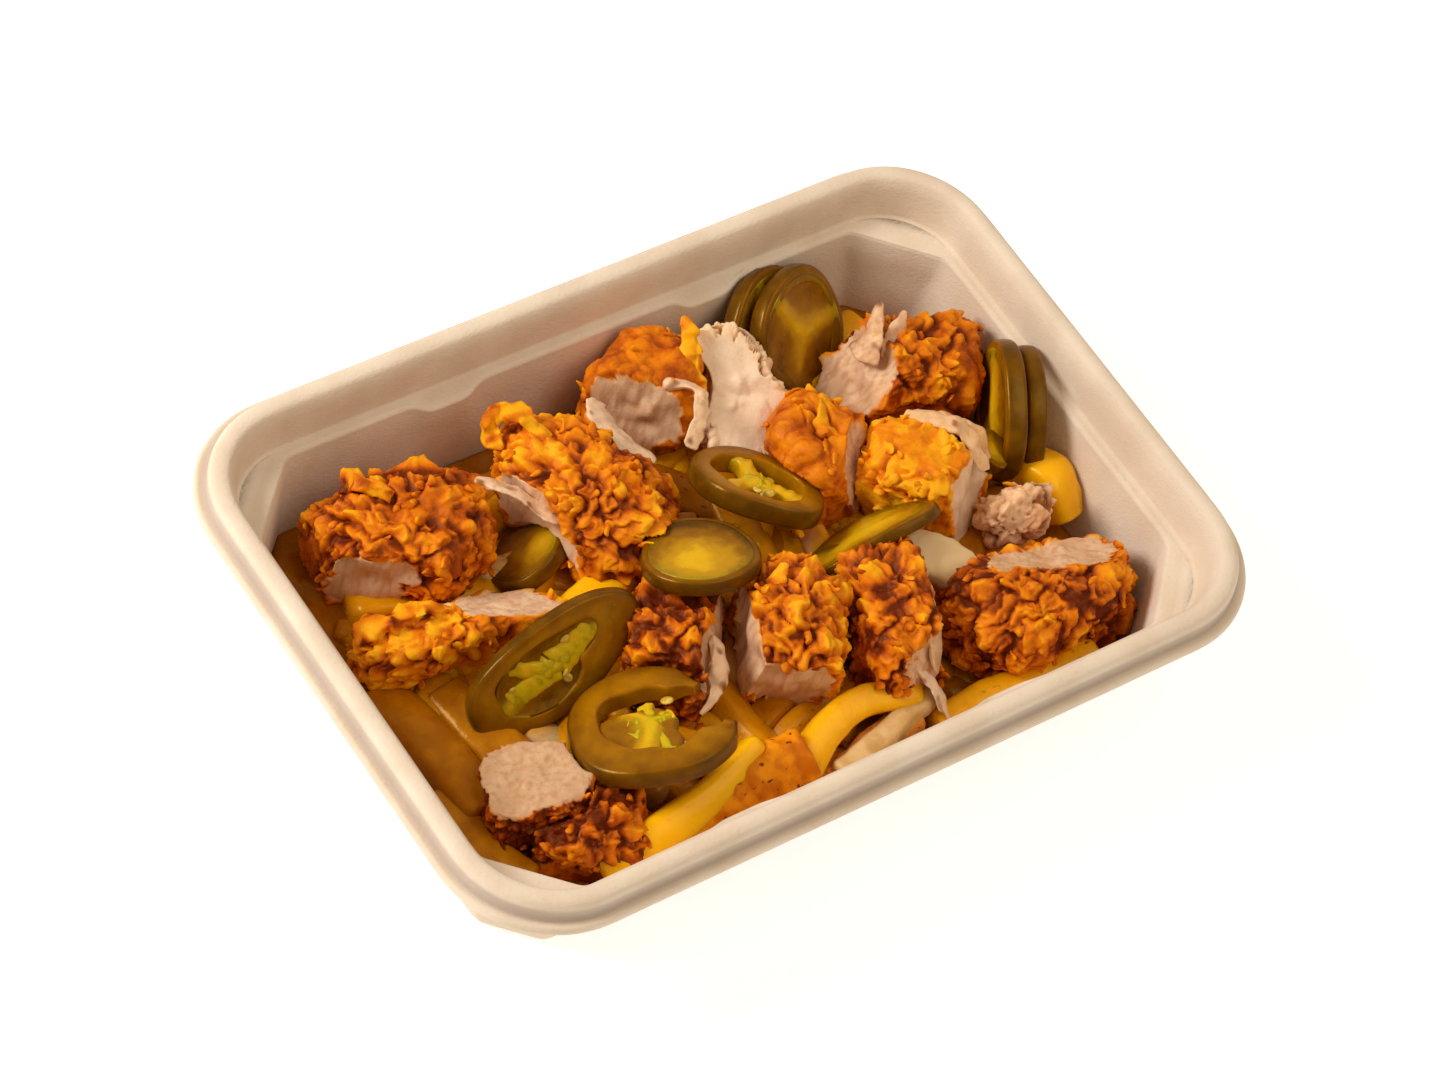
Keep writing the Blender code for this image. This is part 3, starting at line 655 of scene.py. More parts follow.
def pepper_finish():
    """Wet olive-gold flesh, darker towards the umber rind and in painted shade, with paler streaks; coated
    with brine.
    """
    pepper = Finish("jalapeno", roughness=0.30, coat_weight=0.06, coat_roughness=0.12,
                    specular_ior_level=0.45, specular_tint=(1.0, 0.62, 0.10),
                    subsurface_weight=0.35, subsurface_scale=0.003)
    skin = pepper.value("skin")
    cloudy = pepper.noise(6.0, 2.0)
    veins = pepper.noise(1.2, 3.0, (1.0, 1.0, 0.5))
    inner = pepper.mix(cloudy.step(0.3, 0.7), *PEPPER_INNER)
    inner = pepper.mix(veins.step(0.60, 0.80) * 0.4, inner, PEPPER_VEIN)
    outer = pepper.mix(cloudy.step(0.3, 0.7), *PEPPER_OUTER)
    rind = pepper.mix(cloudy.step(0.35, 0.7), *PEPPER_RIND)
    flesh = pepper.mix(skin.step(0.12, 0.36), inner, outer)
    pepper.feed(pepper.shader, "Base Color", pepper.mix(skin.step(0.5, 0.95), flesh, rind))
    pepper.bump(cloudy * 0.7 + veins * 0.3, 0.25)
    return pepper


def pith_finish():
    """Soft pith, yellow in the middle and olive where it meets the wall; some slices carry painted light and
    shade.
    """
    pith = Finish("pith", roughness=0.32, coat_weight=0.10, coat_roughness=0.12, specular_ior_level=0.45,
                  specular_tint=(1.0, 0.70, 0.15), subsurface_weight=0.4, subsurface_scale=0.003)
    cloudy = pith.noise(3.5, 3.0)
    # The value read here is the pith's own tone, with painted light and shade on some slices.
    core = pith.value("core") + (cloudy - 0.5) * 0.5
    deep = pith.mix(core.step(-0.15, 0.16), *PITH_DEEP)
    edge = pith.mix(core.step(0.15, 0.50), deep, PITH_EDGE)
    pith.feed(pith.shader, "Base Color", pith.mix(core.step(0.50, 0.85), edge, PITH_GLOW))
    pith.bump(cloudy, 0.3)
    return pith


def seed_finish():
    """Pale yellow seeds, darker at one spot."""
    seeds = Finish("seeds", roughness=0.35, coat_weight=0.3, coat_roughness=0.1,
                   specular_tint=(1.0, 0.85, 0.5))
    cloudy = seeds.noise(1.5, 2.0)
    seeds.feed(seeds.shader, "Base Color", seeds.mix(cloudy.step(0.4, 0.7), *SEED_SHADES))
    return seeds


def joined(name, pieces):
    """One object from several pieces of one thing."""
    bpy.ops.object.select_all(action="DESELECT")
    for piece in pieces:
        piece.select_set(True)
    bpy.context.view_layer.objects.active = pieces[0]
    bpy.ops.object.join()
    pieces[0].name = name
    return pieces[0]


pepper_look, pith_look, seed_look = pepper_finish(), pith_finish(), seed_finish()
laid = []
for number, row in enumerate(JALAPENO, start=1):
    node = f"jalapeno_{number:02d}"
    wall, skin = slice_wall(row, number)
    parts = [closed_skins(f"wall_of_{node}", wall[None], pepper_look, {"skin": skin[None]},
                          looped=row[0] != HOOP)]
    if row[0] != RING or number in FILLS:
        fill, core = slice_fill(row, number)
        parts.append(closed_skins(f"fill_{number}", fill[None], pith_look, {"core": core[None]}))
    if row[0] != DISC:
        bars, core = slice_spokes(row, number, SPOKES.get(number, PLAIN_SPOKES))
        parts.append(closed_skins(f"spokes_{number}", bars, pith_look, {"core": core}))
    if number in SEEDS_IN:
        parts.append(closed_skins(f"seeds_{number}", slice_seeds(row, number, SEEDS_IN[number]), seed_look))
    piece = joined(f"sliced_{node}", parts)
    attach(piece, "root")
    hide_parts(node)
    laid.append(lambda place, row=row: inside_slice(place, row, SLICE_GAP))


# ---------------------------------------------------------------------------
# Chicken: crispy fried breast chopped with a knife. Each piece is a lumpy block in a crust of
# craggy batter curls, gold at the tips and red-brown in the folds, deepened there by painted shade and
# lit at the tips by painted light, with pale fibrous meat on the faces that the knife or a tear left bare.

# Centre, half sizes and turn about Z in degrees, and the bare faces, each as the azimuth and
# elevation it looks to and its distance from the centre. The first rows lie on top.
CHICKEN = (
    ((-64.5, 39.5, 20.5), (25, 15.5, 13.5), -6, ((-130, 0, 13.5), (-20, 10, 21))),
    ((-68, 13, 21), (27, 9, 9), -6, ((68, 55, 5),)),
    ((-20, 27, 24), (24, 17, 14), -56, ((-170, 0, 13),)),
    ((11, 50, 24), (15, 14, 13), 18, ((-133, 15, 9),)),
    ((31, 39, 25), (16.5, 12, 13), 90, ((-112, 60, 5),)),
    ((40, 15, 23), (15, 12, 13), 84, ((-55, 25, 10),)),
    ((74, 29, 22), (23, 12, 14), -21, ((168, 30, 10),)),
    ((62.5, -1, 24), (18, 14, 13.5), -50, ((10, 34, 12), (-60, 20, 11.5))),
    ((77.5, -20, 22), (8, 7, 8), -16, ((-120, 20, 5),)),
    ((70, -43, 21), (27, 15, 15), 1, ((70, 52, 11),)),
    ((3, -26, 23), (19, 14, 14), 56, ((-121, -10, 13), (160, 0, 11))),
    ((29.5, -33.5, 23), (19.5, 12, 14), 72, ((-18, 8, 9.5), (-75, 22, 15))),
    ((-21, -15, 20), (17, 13, 13), 40, ((-42, 22, 9.5),)),
    ((-73, -32.5, 18.5), (12.5, 12, 12.5), 66, ((140, 74, 5.5), (60, 35, 11))),
    ((-66, -47, 14), (16, 10, 10), -24, ()),
    ((-82, 18, 12), (8, 7, 7), -28, ()),
)
CHUNK_POWER = 3.0                       # superellipsoid exponent: boxier than an egg
CRUMB_STEP = 0.38                       # spacing of the points over a piece
CRUST_DEPTH = 4.2                       # from the bottom of the folds to the tips
CRUST_SINK = 2.3                        # how much of that lies under the plain shape
CRUST_THICK = 1.6                       # batter seen at the edge of a bare face
CHUNK_GAP = 0.6                         # what lies under a piece keeps this far away
GRAZING = 0.02                          # least cosine at which a ray is taken to meet a bare face
FLAKES_PER_MM = 0.022                   # loose flakes of batter for each square millimetre of crust
FLAKE_FLOOR = 9.0                       # none below this height, where they would not show
FLAKE_LEAST, FLAKE_MOST = (0.8, 0.7, 0.45), (2.0, 1.6, 0.95)    # half length, half width and half thickness
# Crust from the folds to the tips: its own red-brown to gold, with painted shade in the folds and painted
# light on the tips.
CRUST_FOLD = ((0.13, 0.011, 0.0006), (0.47, 0.080, 0.001))
CRUST_SLOPE = (0.76, 0.205, 0.002)
CRUST_TIP = (0.94, 0.41, 0.006)
MEAT_PALE = ((0.74, 0.46, 0.26), (0.84, 0.58, 0.36))
MEAT_THREAD = (0.64, 0.35, 0.18)
MEAT_BROWN = (0.42, 0.22, 0.10)
MEAT_WHITE = (0.95, 0.74, 0.52)
# Painted shade in the hollows of torn meat.
MEAT_HOLLOW = (0.22, 0.075, 0.015)
# How much browner than the rest a piece was fried, by its number; paler ones are negative. On the crust
# it is partly browning and partly painted shade; on bare meat it is painted shade, and painted light where
# negative.
BROWNED = {1: 0.55, 2: -0.2, 3: 0.15, 4: 0.1, 5: -1.7, 7: 0.6, 8: -1.0, 9: -0.4, 10: 0.6, 11: 0.1, 12: 0.55,
           13: 1.2, 14: 1.5, 15: 1.2, 16: 0.5}
TORN = {5: 0.8, 9: 0.82}                # pieces of shredded meat: how much of the crust's colour it covers
CRUST_EDGE = {14: -0.8}                 # batter at the edge of a bare face where it isn't CRUST_THICK
# How much of a piece's crust is smooth skin between the crags, by its number.
SMOOTH_PLAIN = 0.15
SMOOTH = {1: 0.35, 2: 0.0, 4: 0.9, 6: 0.45, 7: 0.35, 8: 0.55, 10: 0.1}
STRIP_ROWS = 60
BAR_COLUMNS = 20
# Strips torn from the pieces: how bare each is, how brown, partly painted light and shade as for the
# pieces, four points along it, its width at each, its thickness and its roll in degrees.
STRIPS = (
    (0.00, -0.3, ((17, 41, 30), (19, 46, 35), (22, 51, 39), (24, 56, 41)), (7.0, 6.5, 4.5, 1.5), 2.0, 10),
    (0.90, -0.6, ((11, 45, 35), (16, 40, 37), (14, 33, 37), (7, 26, 34)), (3.0, 4.0, 5.0, 3.0), 1.5, 20),
    (1.00, -0.9, ((-7, 50, 33), (-8, 43, 33), (-6, 36, 32), (-2, 28, 30)), (5.0, 7.0, 8.0, 5.0), 1.3, 25),
    (0.95, 0.3, ((64, 31, 31), (67, 34, 34), (70, 37, 37), (73, 40, 39)), (7.0, 6.0, 4.0, 1.2), 1.5, 30),
    (0.95, 0.3, ((70, 30, 31), (73, 32, 34), (75, 34, 37), (78, 36, 39)), (7.0, 6.0, 4.0, 1.2), 1.5, -20),
    (1.00, -1.3, ((26, -47, 26), (28, -51, 25), (29, -56, 21), (30, -61, 17)), (3.0, 7.0, 5.5, 1.2), 1.4, 35),
    (0.90, -0.6, ((34, -26, 32), (33, -34, 33), (31, -43, 31), (30, -51, 26)), (2.0, 3.5, 4.0, 3.5), 1.2, 60),
    (1.00, -0.3, ((-45, 42, 31), (-40, 36, 32), (-35, 29, 31), (-30, 21, 28)), (2.5, 4.5, 5.0, 3.5), 1.6, 25),
    (0.75, -0.6, ((62, 12, 34), (68, 5, 36), (73, -1, 35), (73, -10, 31)), (3.0, 5.0, 5.5, 4.0), 1.8, 10),
    (0.60, -0.6, ((66, 11, 31), (72, 6, 33), (76, 0, 32), (77, -6, 29)), (2.5, 4.5, 5.0, 3.0), 1.6, 0),
    (0.00, 0.1, ((-92, 18, 25), (-84, 18, 28), (-77, 17, 28.5), (-68, 15.5, 27)), (6, 9, 8.5, 4), 3.0, 35),
    (0.00, -0.3, ((-35, 48, 31), (-34, 53, 35), (-28, 51, 37), (-25, 43, 35)), (4.0, 5.0, 5.0, 4.0), 2.6, 0),
    (0.00, 0.2, ((-76, 50, 30), (-74, 54, 33), (-71, 50, 35), (-68, 44, 34)), (4.0, 5.5, 5.5, 4.0), 2.8, 0),
    (0.00, -0.3, ((-1, -22, 31), (1, -19, 35), (3, -17, 38), (5, -15, 40)), (6.0, 5.0, 3.5, 1.5), 2.6, 15),
    (0.95, -0.9, ((-16, -20, 29), (-19, -27, 29), (-23, -32, 26), (-27, -35, 23)), (3.5, 4.5, 4.5, 1.5),
     1.5, 30),
)


def scatter(cells, salt):
    """Numbers in 0..1 that belong to whole-number cells: their coordinates mixed with large odd factors."""
    cells = cells.astype(np.int64)
    mixed = cells[..., 0] * 73856093 ^ cells[..., 1] * 19349663 ^ cells[..., 2] * 83492791 ^ (salt * 2654435)
    mixed = (mixed ^ (mixed >> 13)) * 1274126177
    mixed = (mixed ^ (mixed >> 16)) * 668265263
    return ((mixed ^ (mixed >> 15)) & 0xFFFFFF) / float(0xFFFFFF)


def waves(place, size, salt):
    """Smooth noise in -1..1: random numbers at the corners of cells of a size, eased between them."""
    scaled = place / size
    cell = np.floor(scaled)
    part = scaled - cell
    part = part * part * (3 - 2 * part)
    total = np.zeros(place.shape[:-1])
    for corner in np.ndindex(2, 2, 2):
        corner = np.array(corner)
        weight = np.prod(np.where(corner, part, 1 - part), axis=-1)
        total += weight * scatter(cell + corner, salt)
    return 2 * total - 1


def drift(place, size, salt):
    """Vector noise: three smooth noises side by side."""
    return np.stack([waves(place, size, salt + axis) for axis in range(3)], axis=-1)


def domes(place, size, salt):
    """Packed domes: the highest, at each point, of round caps of random height on scattered centres."""
    scaled = place / size
    cell = np.floor(scaled)
    best = np.zeros(place.shape[:-1])
    for corner in np.ndindex(3, 3, 3):
        near = cell + np.array(corner) - 1
        centre = near + np.stack([scatter(near, salt + axis) for axis in range(3)], axis=-1)
        away = ((scaled - centre) ** 2).sum(axis=-1)
        best = np.maximum(best, 0.55 + 0.45 * scatter(near, salt + 3) - 1.25 * away)
    return np.clip(best * 1.15, 0.0, 1.0)


def crests(place, size, salt):
    """Ridges, 1 along the lines where smooth noise is zero and falling off straight on both sides."""
    return np.clip(1.0 - 2.1 * np.abs(waves(place, size, salt)), 0.0, 1.0)


def slow_lumps(direction, seed):
    """Unevenness of a piece: three slow waves over its directions, each along a random axis."""
    rng = np.random.default_rng(seed)
    total = np.ones(direction.shape[:-1])
    for frequency, height in ((2.3, 0.06), (3.7, 0.05), (6.1, 0.035)):
        axis = rng.normal(size=3)
        axis /= np.linalg.norm(axis)
        total += height * np.sin(frequency * direction @ axis + rng.uniform(0, 2 * math.pi))
    return total


def turn_about_z(degrees):
    """Rotation matrix about Z."""
    angle = math.radians(degrees)
    return np.array([[math.cos(angle), -math.sin(angle), 0.0],
                     [math.sin(angle), math.cos(angle), 0.0], [0.0, 0.0, 1.0]])


def towards(azimuth, elevation):
    """Unit vector from an azimuth and an elevation in degrees."""
    az, el = math.radians(azimuth), math.radians(elevation)
    return np.array([math.cos(az) * math.cos(el), math.sin(az) * math.cos(el), math.sin(el)])


def chunk_reach(direction, row, seed):
    """Distances from a piece's centre, along world directions, to its round shape and to its bare faces.

    The round shape is (|x/a|^p + |y/b|^p + |z/c|^p) = 1 in the turned frame, times the slow waves.
    A bare face is a plane: its distance over the cosine to its normal.
    """
    _, half, yaw, cuts = row
    local = direction @ turn_about_z(yaw)
    round_reach = (np.abs(local / np.array(half)) ** CHUNK_POWER).sum(axis=-1) ** (-1 / CHUNK_POWER)
    round_reach = round_reach * slow_lumps(local, seed)
    face_reach = np.full(direction.shape[:-1], np.inf)
    for azimuth, elevation, distance in cuts:
        cosine = direction @ towards(azimuth, elevation)
        to_face = np.where(cosine > GRAZING, distance / np.maximum(cosine, GRAZING), np.inf)
        face_reach = np.minimum(face_reach, to_face)
    return round_reach, face_reach


def inside_chunk(place, row, seed, gap):
    """Whether points lie in a piece or within a gap of it."""
    arm = place - np.array(row[0])
    length = np.maximum(np.linalg.norm(arm, axis=-1), 1e-6)
    round_reach, face_reach = chunk_reach(arm / length[..., None], row, seed)
    return length < np.minimum(round_reach, face_reach) + gap


def pressed_back(centre, direction, reach, above):
    """Shortens a piece's reach to where its rays first enter something that lies on it."""
    shortest = reach.copy()
    share = np.linspace(0.25, 1.0, 20)
    for inside in above:
        place = centre + direction * (share[:, None, None] * reach)[..., None]
        struck = inside(place)
        hit = struck.any(axis=0)
        if not hit.any():
            continue
        first = struck.argmax(axis=0)
        high = share[first] * reach
        low = np.maximum(share[np.maximum(first - 1, 0)], 0.2) * reach
        for _ in range(5):
            middle = (low + high) / 2
            struck_here = inside(centre + direction * middle[..., None])
            high = np.where(struck_here, middle, high)
            low = np.where(struck_here, low, middle)
        shortest = np.where(hit, np.minimum(shortest, low), shortest)
    return shortest


def crust_relief(place, salt):
    """Relief of fried batter, 0 in the folds to 1 at the tips.

    Packed domes of three sizes, parted by narrow winding creases and topped with fine ridges, in a space
    that slow noise has bent so that they run into curls. The larger ones are drawn out upwards, as batter
    runs down.
    """
    bent = place + 1.9 * drift(place, 4.4, salt) + 0.8 * drift(place, 1.9, salt + 11)
    drawn = bent * np.array([1.0, 1.0, 0.62])
    crease = crests(drawn, 4.2, salt + 31) ** 2
    return (0.34 * domes(drawn, 5.6, salt + 21) + 0.30 * domes(drawn, 2.8, salt + 51)
            + 0.12 * domes(bent, 1.5, salt + 61) + 0.15 * (1.0 - 2.0 * crease)
            + 0.13 * crests(bent, 1.6, salt + 41) * (1.0 - crease))


def build_chunk(row, seed, above):
    """A piece of chicken: rays from its centre over an even ellipsoid grid, moved out to its surface.

    Returns the points, the rays and, for each, how bare it is (0 crust, 1 meat), how far something
    lying on it presses it, and its relief.
    """
    centre, half, yaw, _ = row
    centre = np.array(centre, float)
    half = np.array(half, float)
    columns = int(2 * math.pi * math.sqrt((half[1] ** 2 + half[2] ** 2) / 2) / CRUMB_STEP)
    rows = int(math.pi * (half[0] + half[1:].mean()) / 2 / CRUMB_STEP)
    across, down = np.meshgrid(np.arange(columns) * 2 * math.pi / columns,
                               (np.arange(rows) + 0.5) * math.pi / rows)
    ball = np.stack([np.cos(down), np.sin(down) * np.cos(across), np.sin(down) * np.sin(across)], axis=-1)
    direction = ball * half
    direction /= np.linalg.norm(direction, axis=-1, keepdims=True)
    direction = direction @ turn_about_z(yaw).T
    round_reach, face_reach = chunk_reach(direction, row, seed)
    round_reach = round_reach + 2.4 * waves(direction * round_reach[..., None], 9.0, seed * 100 + 91)
    face_reach = face_reach + 1.6 * waves(direction * round_reach[..., None], 8.0, seed * 100 + 95)
    reach = np.minimum(round_reach, face_reach)
    kept = pressed_back(centre, direction, reach, above)
    pressed = eased((reach - kept) / 1.5)
    place = centre + direction * kept[..., None]
    ragged = 1.3 * waves(place, 3.4, seed * 100 + 51) + 0.9 * waves(place, 1.3, seed * 100 + 55)
    bare = eased((round_reach - face_reach - CRUST_EDGE.get(seed, CRUST_THICK) + ragged) / 0.8 + 0.5)
    relief = crust_relief(place, seed * 100)
    smooth = eased((waves(place, 10.0, seed * 100 + 97) + 2 * SMOOTH.get(seed, SMOOTH_PLAIN) - 0.7) / 0.5)
    relief = relief + 0.7 * smooth * (0.42 - relief)
    fibres = waves(place * np.array([1.0, 1.0, 0.16]), 1.6, seed * 100 + 61)
    meat = 0.28 * fibres + 0.7 * waves(place, 5.5, seed * 100 + 71)
    out = (1 - bare) * (CRUST_DEPTH * relief - CRUST_SINK) + bare * (meat - 0.5)
    out = out * (1 - 0.8 * pressed) - 0.6 * pressed
    slide = 1.2 * drift(place, 3.0, seed * 100 + 81) * (relief * (1 - bare) * (1 - pressed))[..., None]
    place = within_tray(place + direction * out[..., None] + slide)
    relief = relief + (1 - relief) * bare
    return place, direction, np.maximum(bare, TORN.get(seed, 0.0)), pressed, relief


def chicken_finish():
    """Crust and meat in one material, told apart by the piece's own bare and relief values."""
    chicken = Finish("fried_chicken", roughness=0.5, specular_ior_level=0.35,
                     specular_tint=(1.0, 0.70, 0.28), subsurface_weight=0.12, subsurface_scale=0.002)
    bare = chicken.value("bare")
    relief = chicken.value("relief")
    grain = chicken.noise(0.7, 3.0)
    patches = chicken.noise(7.0, 2.0)
    # The piece's value: partly browning, partly painted light and shade.
    brown = chicken.value("brown")
    height = relief + (grain - 0.5) * 0.16 + (patches - 0.5) * 0.55 - 0.20 * brown
    # Painted shade and light: darker where the relief is low, in the folds, and gold where it is high, at the
    # tips.
    fold = chicken.mix(height.step(0.12, 0.38), *CRUST_FOLD)
    slope = chicken.mix(height.step(0.30, 0.55), fold, CRUST_SLOPE)
    crust = chicken.mix(height.step(0.52, 0.80), slope, CRUST_TIP)
    threads = chicken.noise(1.6, 3.0, (1.0, 1.0, 0.14))
    blush = chicken.noise(6.0, 1.0)
    pale = chicken.mix(blush.step(0.35, 0.65), *MEAT_PALE)
    meat = chicken.mix(threads.step(0.30, 0.60), MEAT_THREAD, pale)
    # Painted shade on bare meat where the piece's value is positive, painted light where it is negative.
    meat = chicken.mix(brown * 0.35, meat, MEAT_BROWN)
    meat = chicken.mix(brown * -0.45, meat, MEAT_WHITE)
    # Painted shade: bare meat darkens in the hollows of its relief.
    meat = chicken.mix(relief.step(0.15, 0.50), MEAT_HOLLOW, meat)
    chicken.feed(chicken.shader, "Base Color", chicken.mix(bare, crust, meat))
    chicken.feed(chicken.shader, "Roughness", 0.52 - 0.14 * bare)
    chicken.bump(grain, 0.12)
    return chicken


chicken_look = chicken_finish()
flake_roots = []
rng = np.random.default_rng(17)
for number, row in enumerate(CHICKEN, start=1):
    node = f"chicken_{number:02d}"
    shape, ray, bare, pressed, relief = build_chunk(row, number, laid)
    spread = np.sin(math.pi * (np.arange(len(shape)) + 0.5) / len(shape))[:, None]
    room = (1 - bare) * (1 - pressed) * spread * (shape[..., 2] > FLAKE_FLOOR)
    count = int(FLAKES_PER_MM * room.sum() * CRUMB_STEP ** 2)
    chosen = rng.choice(room.size, count, p=(room / room.sum()).ravel())
    # One value for the whole piece: browning, partly painted light and shade.
    brown = np.full_like(bare, BROWNED.get(number, 0.0))
    flake_roots.append(np.concatenate([shape, ray, brown[..., None]], axis=-1).reshape(-1, 7)[chosen])
    piece = closed_skins(f"fried_{node}", shape[None], chicken_look,
                         {"bare": bare[None], "relief": relief[None], "brown": brown[None]})
    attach(piece, "root")
    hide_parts(node)
    laid.append(lambda place, row=row, number=number: inside_chunk(place, row, number, CHUNK_GAP))


def build_flakes(root, outward, seed):
    """Flakes of batter that stand out of the crust at a slant: flattened balls with a torn rim.

    Each is a unit ball stretched to its own length, width and thickness, its rim drawn in and out by noise,
    cupped across and crumpled. Returns the points and the relief value of each, higher towards the tip.
    """
    rng = np.random.default_rng(seed)
    count = len(root)
    aside = np.cross(outward, rng.normal(size=(count, 3)))
    aside /= np.linalg.norm(aside, axis=-1, keepdims=True)
    lean = rng.uniform(0.7, 1.5, (count, 1))
    along = outward * np.cos(lean) + np.cross(aside, outward) * np.sin(lean)
    facing = np.cross(along, aside)
    down, turn = np.meshgrid((np.arange(9) + 0.5) * math.pi / 9, np.arange(10) * math.pi / 5, indexing="ij")
    ball = np.stack([-np.cos(down), np.sin(down) * np.cos(turn), np.sin(down) * np.sin(turn)], axis=-1)
    size = rng.uniform(FLAKE_LEAST, FLAKE_MOST, (count, 3))
    leaf = ball * size[:, None, None]
    torn = 1.0 + 0.45 * waves(leaf + rng.uniform(0, 90, (count, 1, 1, 3)), 1.3, seed)
    leaf = leaf * np.stack([torn, torn, np.ones_like(torn)], axis=-1)
    leaf[..., 2] += rng.uniform(-0.35, 0.35, (count, 1, 1)) * leaf[..., 1] ** 2 + 0.10 * leaf[..., 0] ** 2
    leaf[..., 0] += 0.3 * size[:, None, None, 0]
    axes = np.stack([along, aside, facing], axis=1)
    flakes = root[:, None, None] + leaf @ axes[:, None]
    flakes = within_tray(flakes + 0.55 * drift(flakes, 1.5, seed + 1))
    # The relief value rises towards a flake's tip, where the crust's colour paints light.
    return flakes, 0.45 + 0.12 * leaf[..., 0] + 0.3 * (torn - 1.0)


roots = np.concatenate(flake_roots)
flakes, height = build_flakes(roots[:, :3], roots[:, 3:6], 18)
piece = closed_skins("crust_flakes", flakes, chicken_look,
                     {"bare": 0.0, "relief": height, "brown": roots[:, 6][:, None, None]})
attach(piece, "root")


def through_points(points, count):
    """Curves through four points each (Catmull-Rom with mirrored ends), as (curves, count, 3)."""
    first = 2 * points[:, :1] - points[:, 1:2]
    last = 2 * points[:, -1:] - points[:, -2:-1]
    knots = np.concatenate([first, points, last], axis=1)
    at = np.linspace(0.0, points.shape[1] - 1 - 1e-6, count)
    index = at.astype(int)
    t = (at - index)[None, :, None]
    a, b, c, d = (knots[:, index + k] for k in range(4))
    return 0.5 * (2 * b + (c - a) * t + (2 * a - 5 * b + 4 * c - d) * t ** 2
                  + (3 * b - a - 3 * c + d) * t ** 3)


def carried_bars(paths, widths, heights, rolls, boxiness):
    """Rounded bars: a squarish oval carried along each path and square to it, closed with blunt ends.

    Widths and heights are numbers for each row, and roll turns the section about the path, in degrees.
    """
    count = paths.shape[1]
    along = np.gradient(paths, axis=1)
    along /= np.linalg.norm(along, axis=-1, keepdims=True)
    side = np.cross(along, (0.0, 0.0, 1.0))
    side /= np.linalg.norm(side, axis=-1, keepdims=True)
    up = np.cross(side, along)
    angle = np.radians(rolls)[:, None, None]
    side, up = side * np.cos(angle) + up * np.sin(angle), up * np.cos(angle) - side * np.sin(angle)
    wide, high = squared(np.linspace(0.0, 2 * math.pi, BAR_COLUMNS, endpoint=False), boxiness)
    to_end = np.minimum(np.arange(count), np.arange(count)[::-1])
    blunt = np.interp(to_end, (0, 1, 2), (0.72, 0.94, 1.0))
    wide = (widths / 2 * blunt)[..., None] * wide
    high = (heights / 2 * blunt)[..., None] * high
    return paths[:, :, None] + side[:, :, None] * wide[..., None] + up[:, :, None] * high[..., None]


def torn_strips(rows):
    """Torn strips: a flat oval carried along each path, its edges drawn in and out by noise, and crumpled."""
    paths = through_points(np.array([row[2] for row in rows], float), STRIP_ROWS)
    at = np.linspace(0.0, 3.0, STRIP_ROWS)
    widths = np.array([np.interp(at, range(4), row[3]) for row in rows])
    heights = np.array([row[4] * np.interp(at, (0.0, 1.5, 3.0), (1.2, 1.0, 0.5)) for row in rows])
    bars = carried_bars(paths, widths, heights, [row[5] for row in rows], 0.8)
    middle = bars.mean(axis=2, keepdims=True)
    crust = 1.0 - np.array([row[0] for row in rows])[:, None, None, None]
    ragged = 1.0 + 0.45 * waves(bars, 4.0, 8001) + 0.25 * waves(bars, 1.6, 8005)
    turn = np.linspace(0.0, 2 * math.pi, BAR_COLUMNS, endpoint=False)
    ragged += 0.10 * np.sin(5 * turn + 1.5 * waves(middle, 6.0, 8019))
    crumpled = 0.8 * drift(bars, 4.5, 8011) + 1.1 * crust * drift(bars, 2.2, 8015)
    return within_tray(middle + (bars - middle) * ragged[..., None] + crumpled)


strips = torn_strips(STRIPS)
bare, brown = np.array([row[:2] for row in STRIPS]).T
piece = closed_skins("torn_strips", strips, chicken_look,
                     {"bare": bare[:, None, None], "relief": 0.62 + 0.5 * waves(strips, 2.5, 8021),
                      "brown": brown[:, None, None]})
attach(piece, "root")


# ---------------------------------------------------------------------------
# Fries: thick-cut potato, fried and coated with cheese sauce, in a loose layer under the chicken.
# Under the loose ones a low bed of sauced scraps fills the tray's floor. Those that show along the
# front and the left are laid one by one: straight, curly, a seasoned wedge and a bare pale end.

BED_HEIGHT = 7.5                        # the bed's mean height
BED_INSETS = (23.5, 19.8, 18.6, 18.0)   # its side, from the floor up, as insets from the rim's outline
BED_RISE = (1.45, 2.3, 5.2, 7.5)
BED_CHAMFER = 12.0
BED_ROWS = 60
FRY_WIDTH = (7.5, 10.0)
FRY_LENGTH = (46.0, 82.0)
FRY_LEVELS = (5.5, 11.5)                # lowest and highest middle of a loose fry
FRY_TILT = 2.2                          # how far its ends rise and fall
FRY_BOW = 1.6
LOOSE_FRIES = 78
TRIES_PER_FRY = 8
LOOSE_SPREAD = (92.0, 58.0)             # how far from the tray's centre a loose fry's middle may lie
LOOSE_INSET = 24.0                      # how far in from the rim's outline its ends stay, and how much
LOOSE_CORNER = 14.0                     # further, both ways together, at the corners
FRY_ROWS = 26
LAID_ROWS = 60
SAUCE_DEPTH = 0.65
POTATO = ((0.54, 0.30, 0.09), (0.70, 0.47, 0.20))
# Pale potato, also painted light on bright fries.
POTATO_PALE = (0.98, 0.76, 0.42)
SEASONED = ((0.60, 0.14, 0.001), (0.92, 0.31, 0.003))
SPECK = (0.16, 0.025, 0.002)
# Sauce from dark amber to yellow: the dark end doubles as painted shade, the yellow end as painted light.
SAUCE_AMBER = ((0.36, 0.105, 0.0006), (0.72, 0.29, 0.0015))
SAUCE_YELLOW = (0.96, 0.48, 0.003)
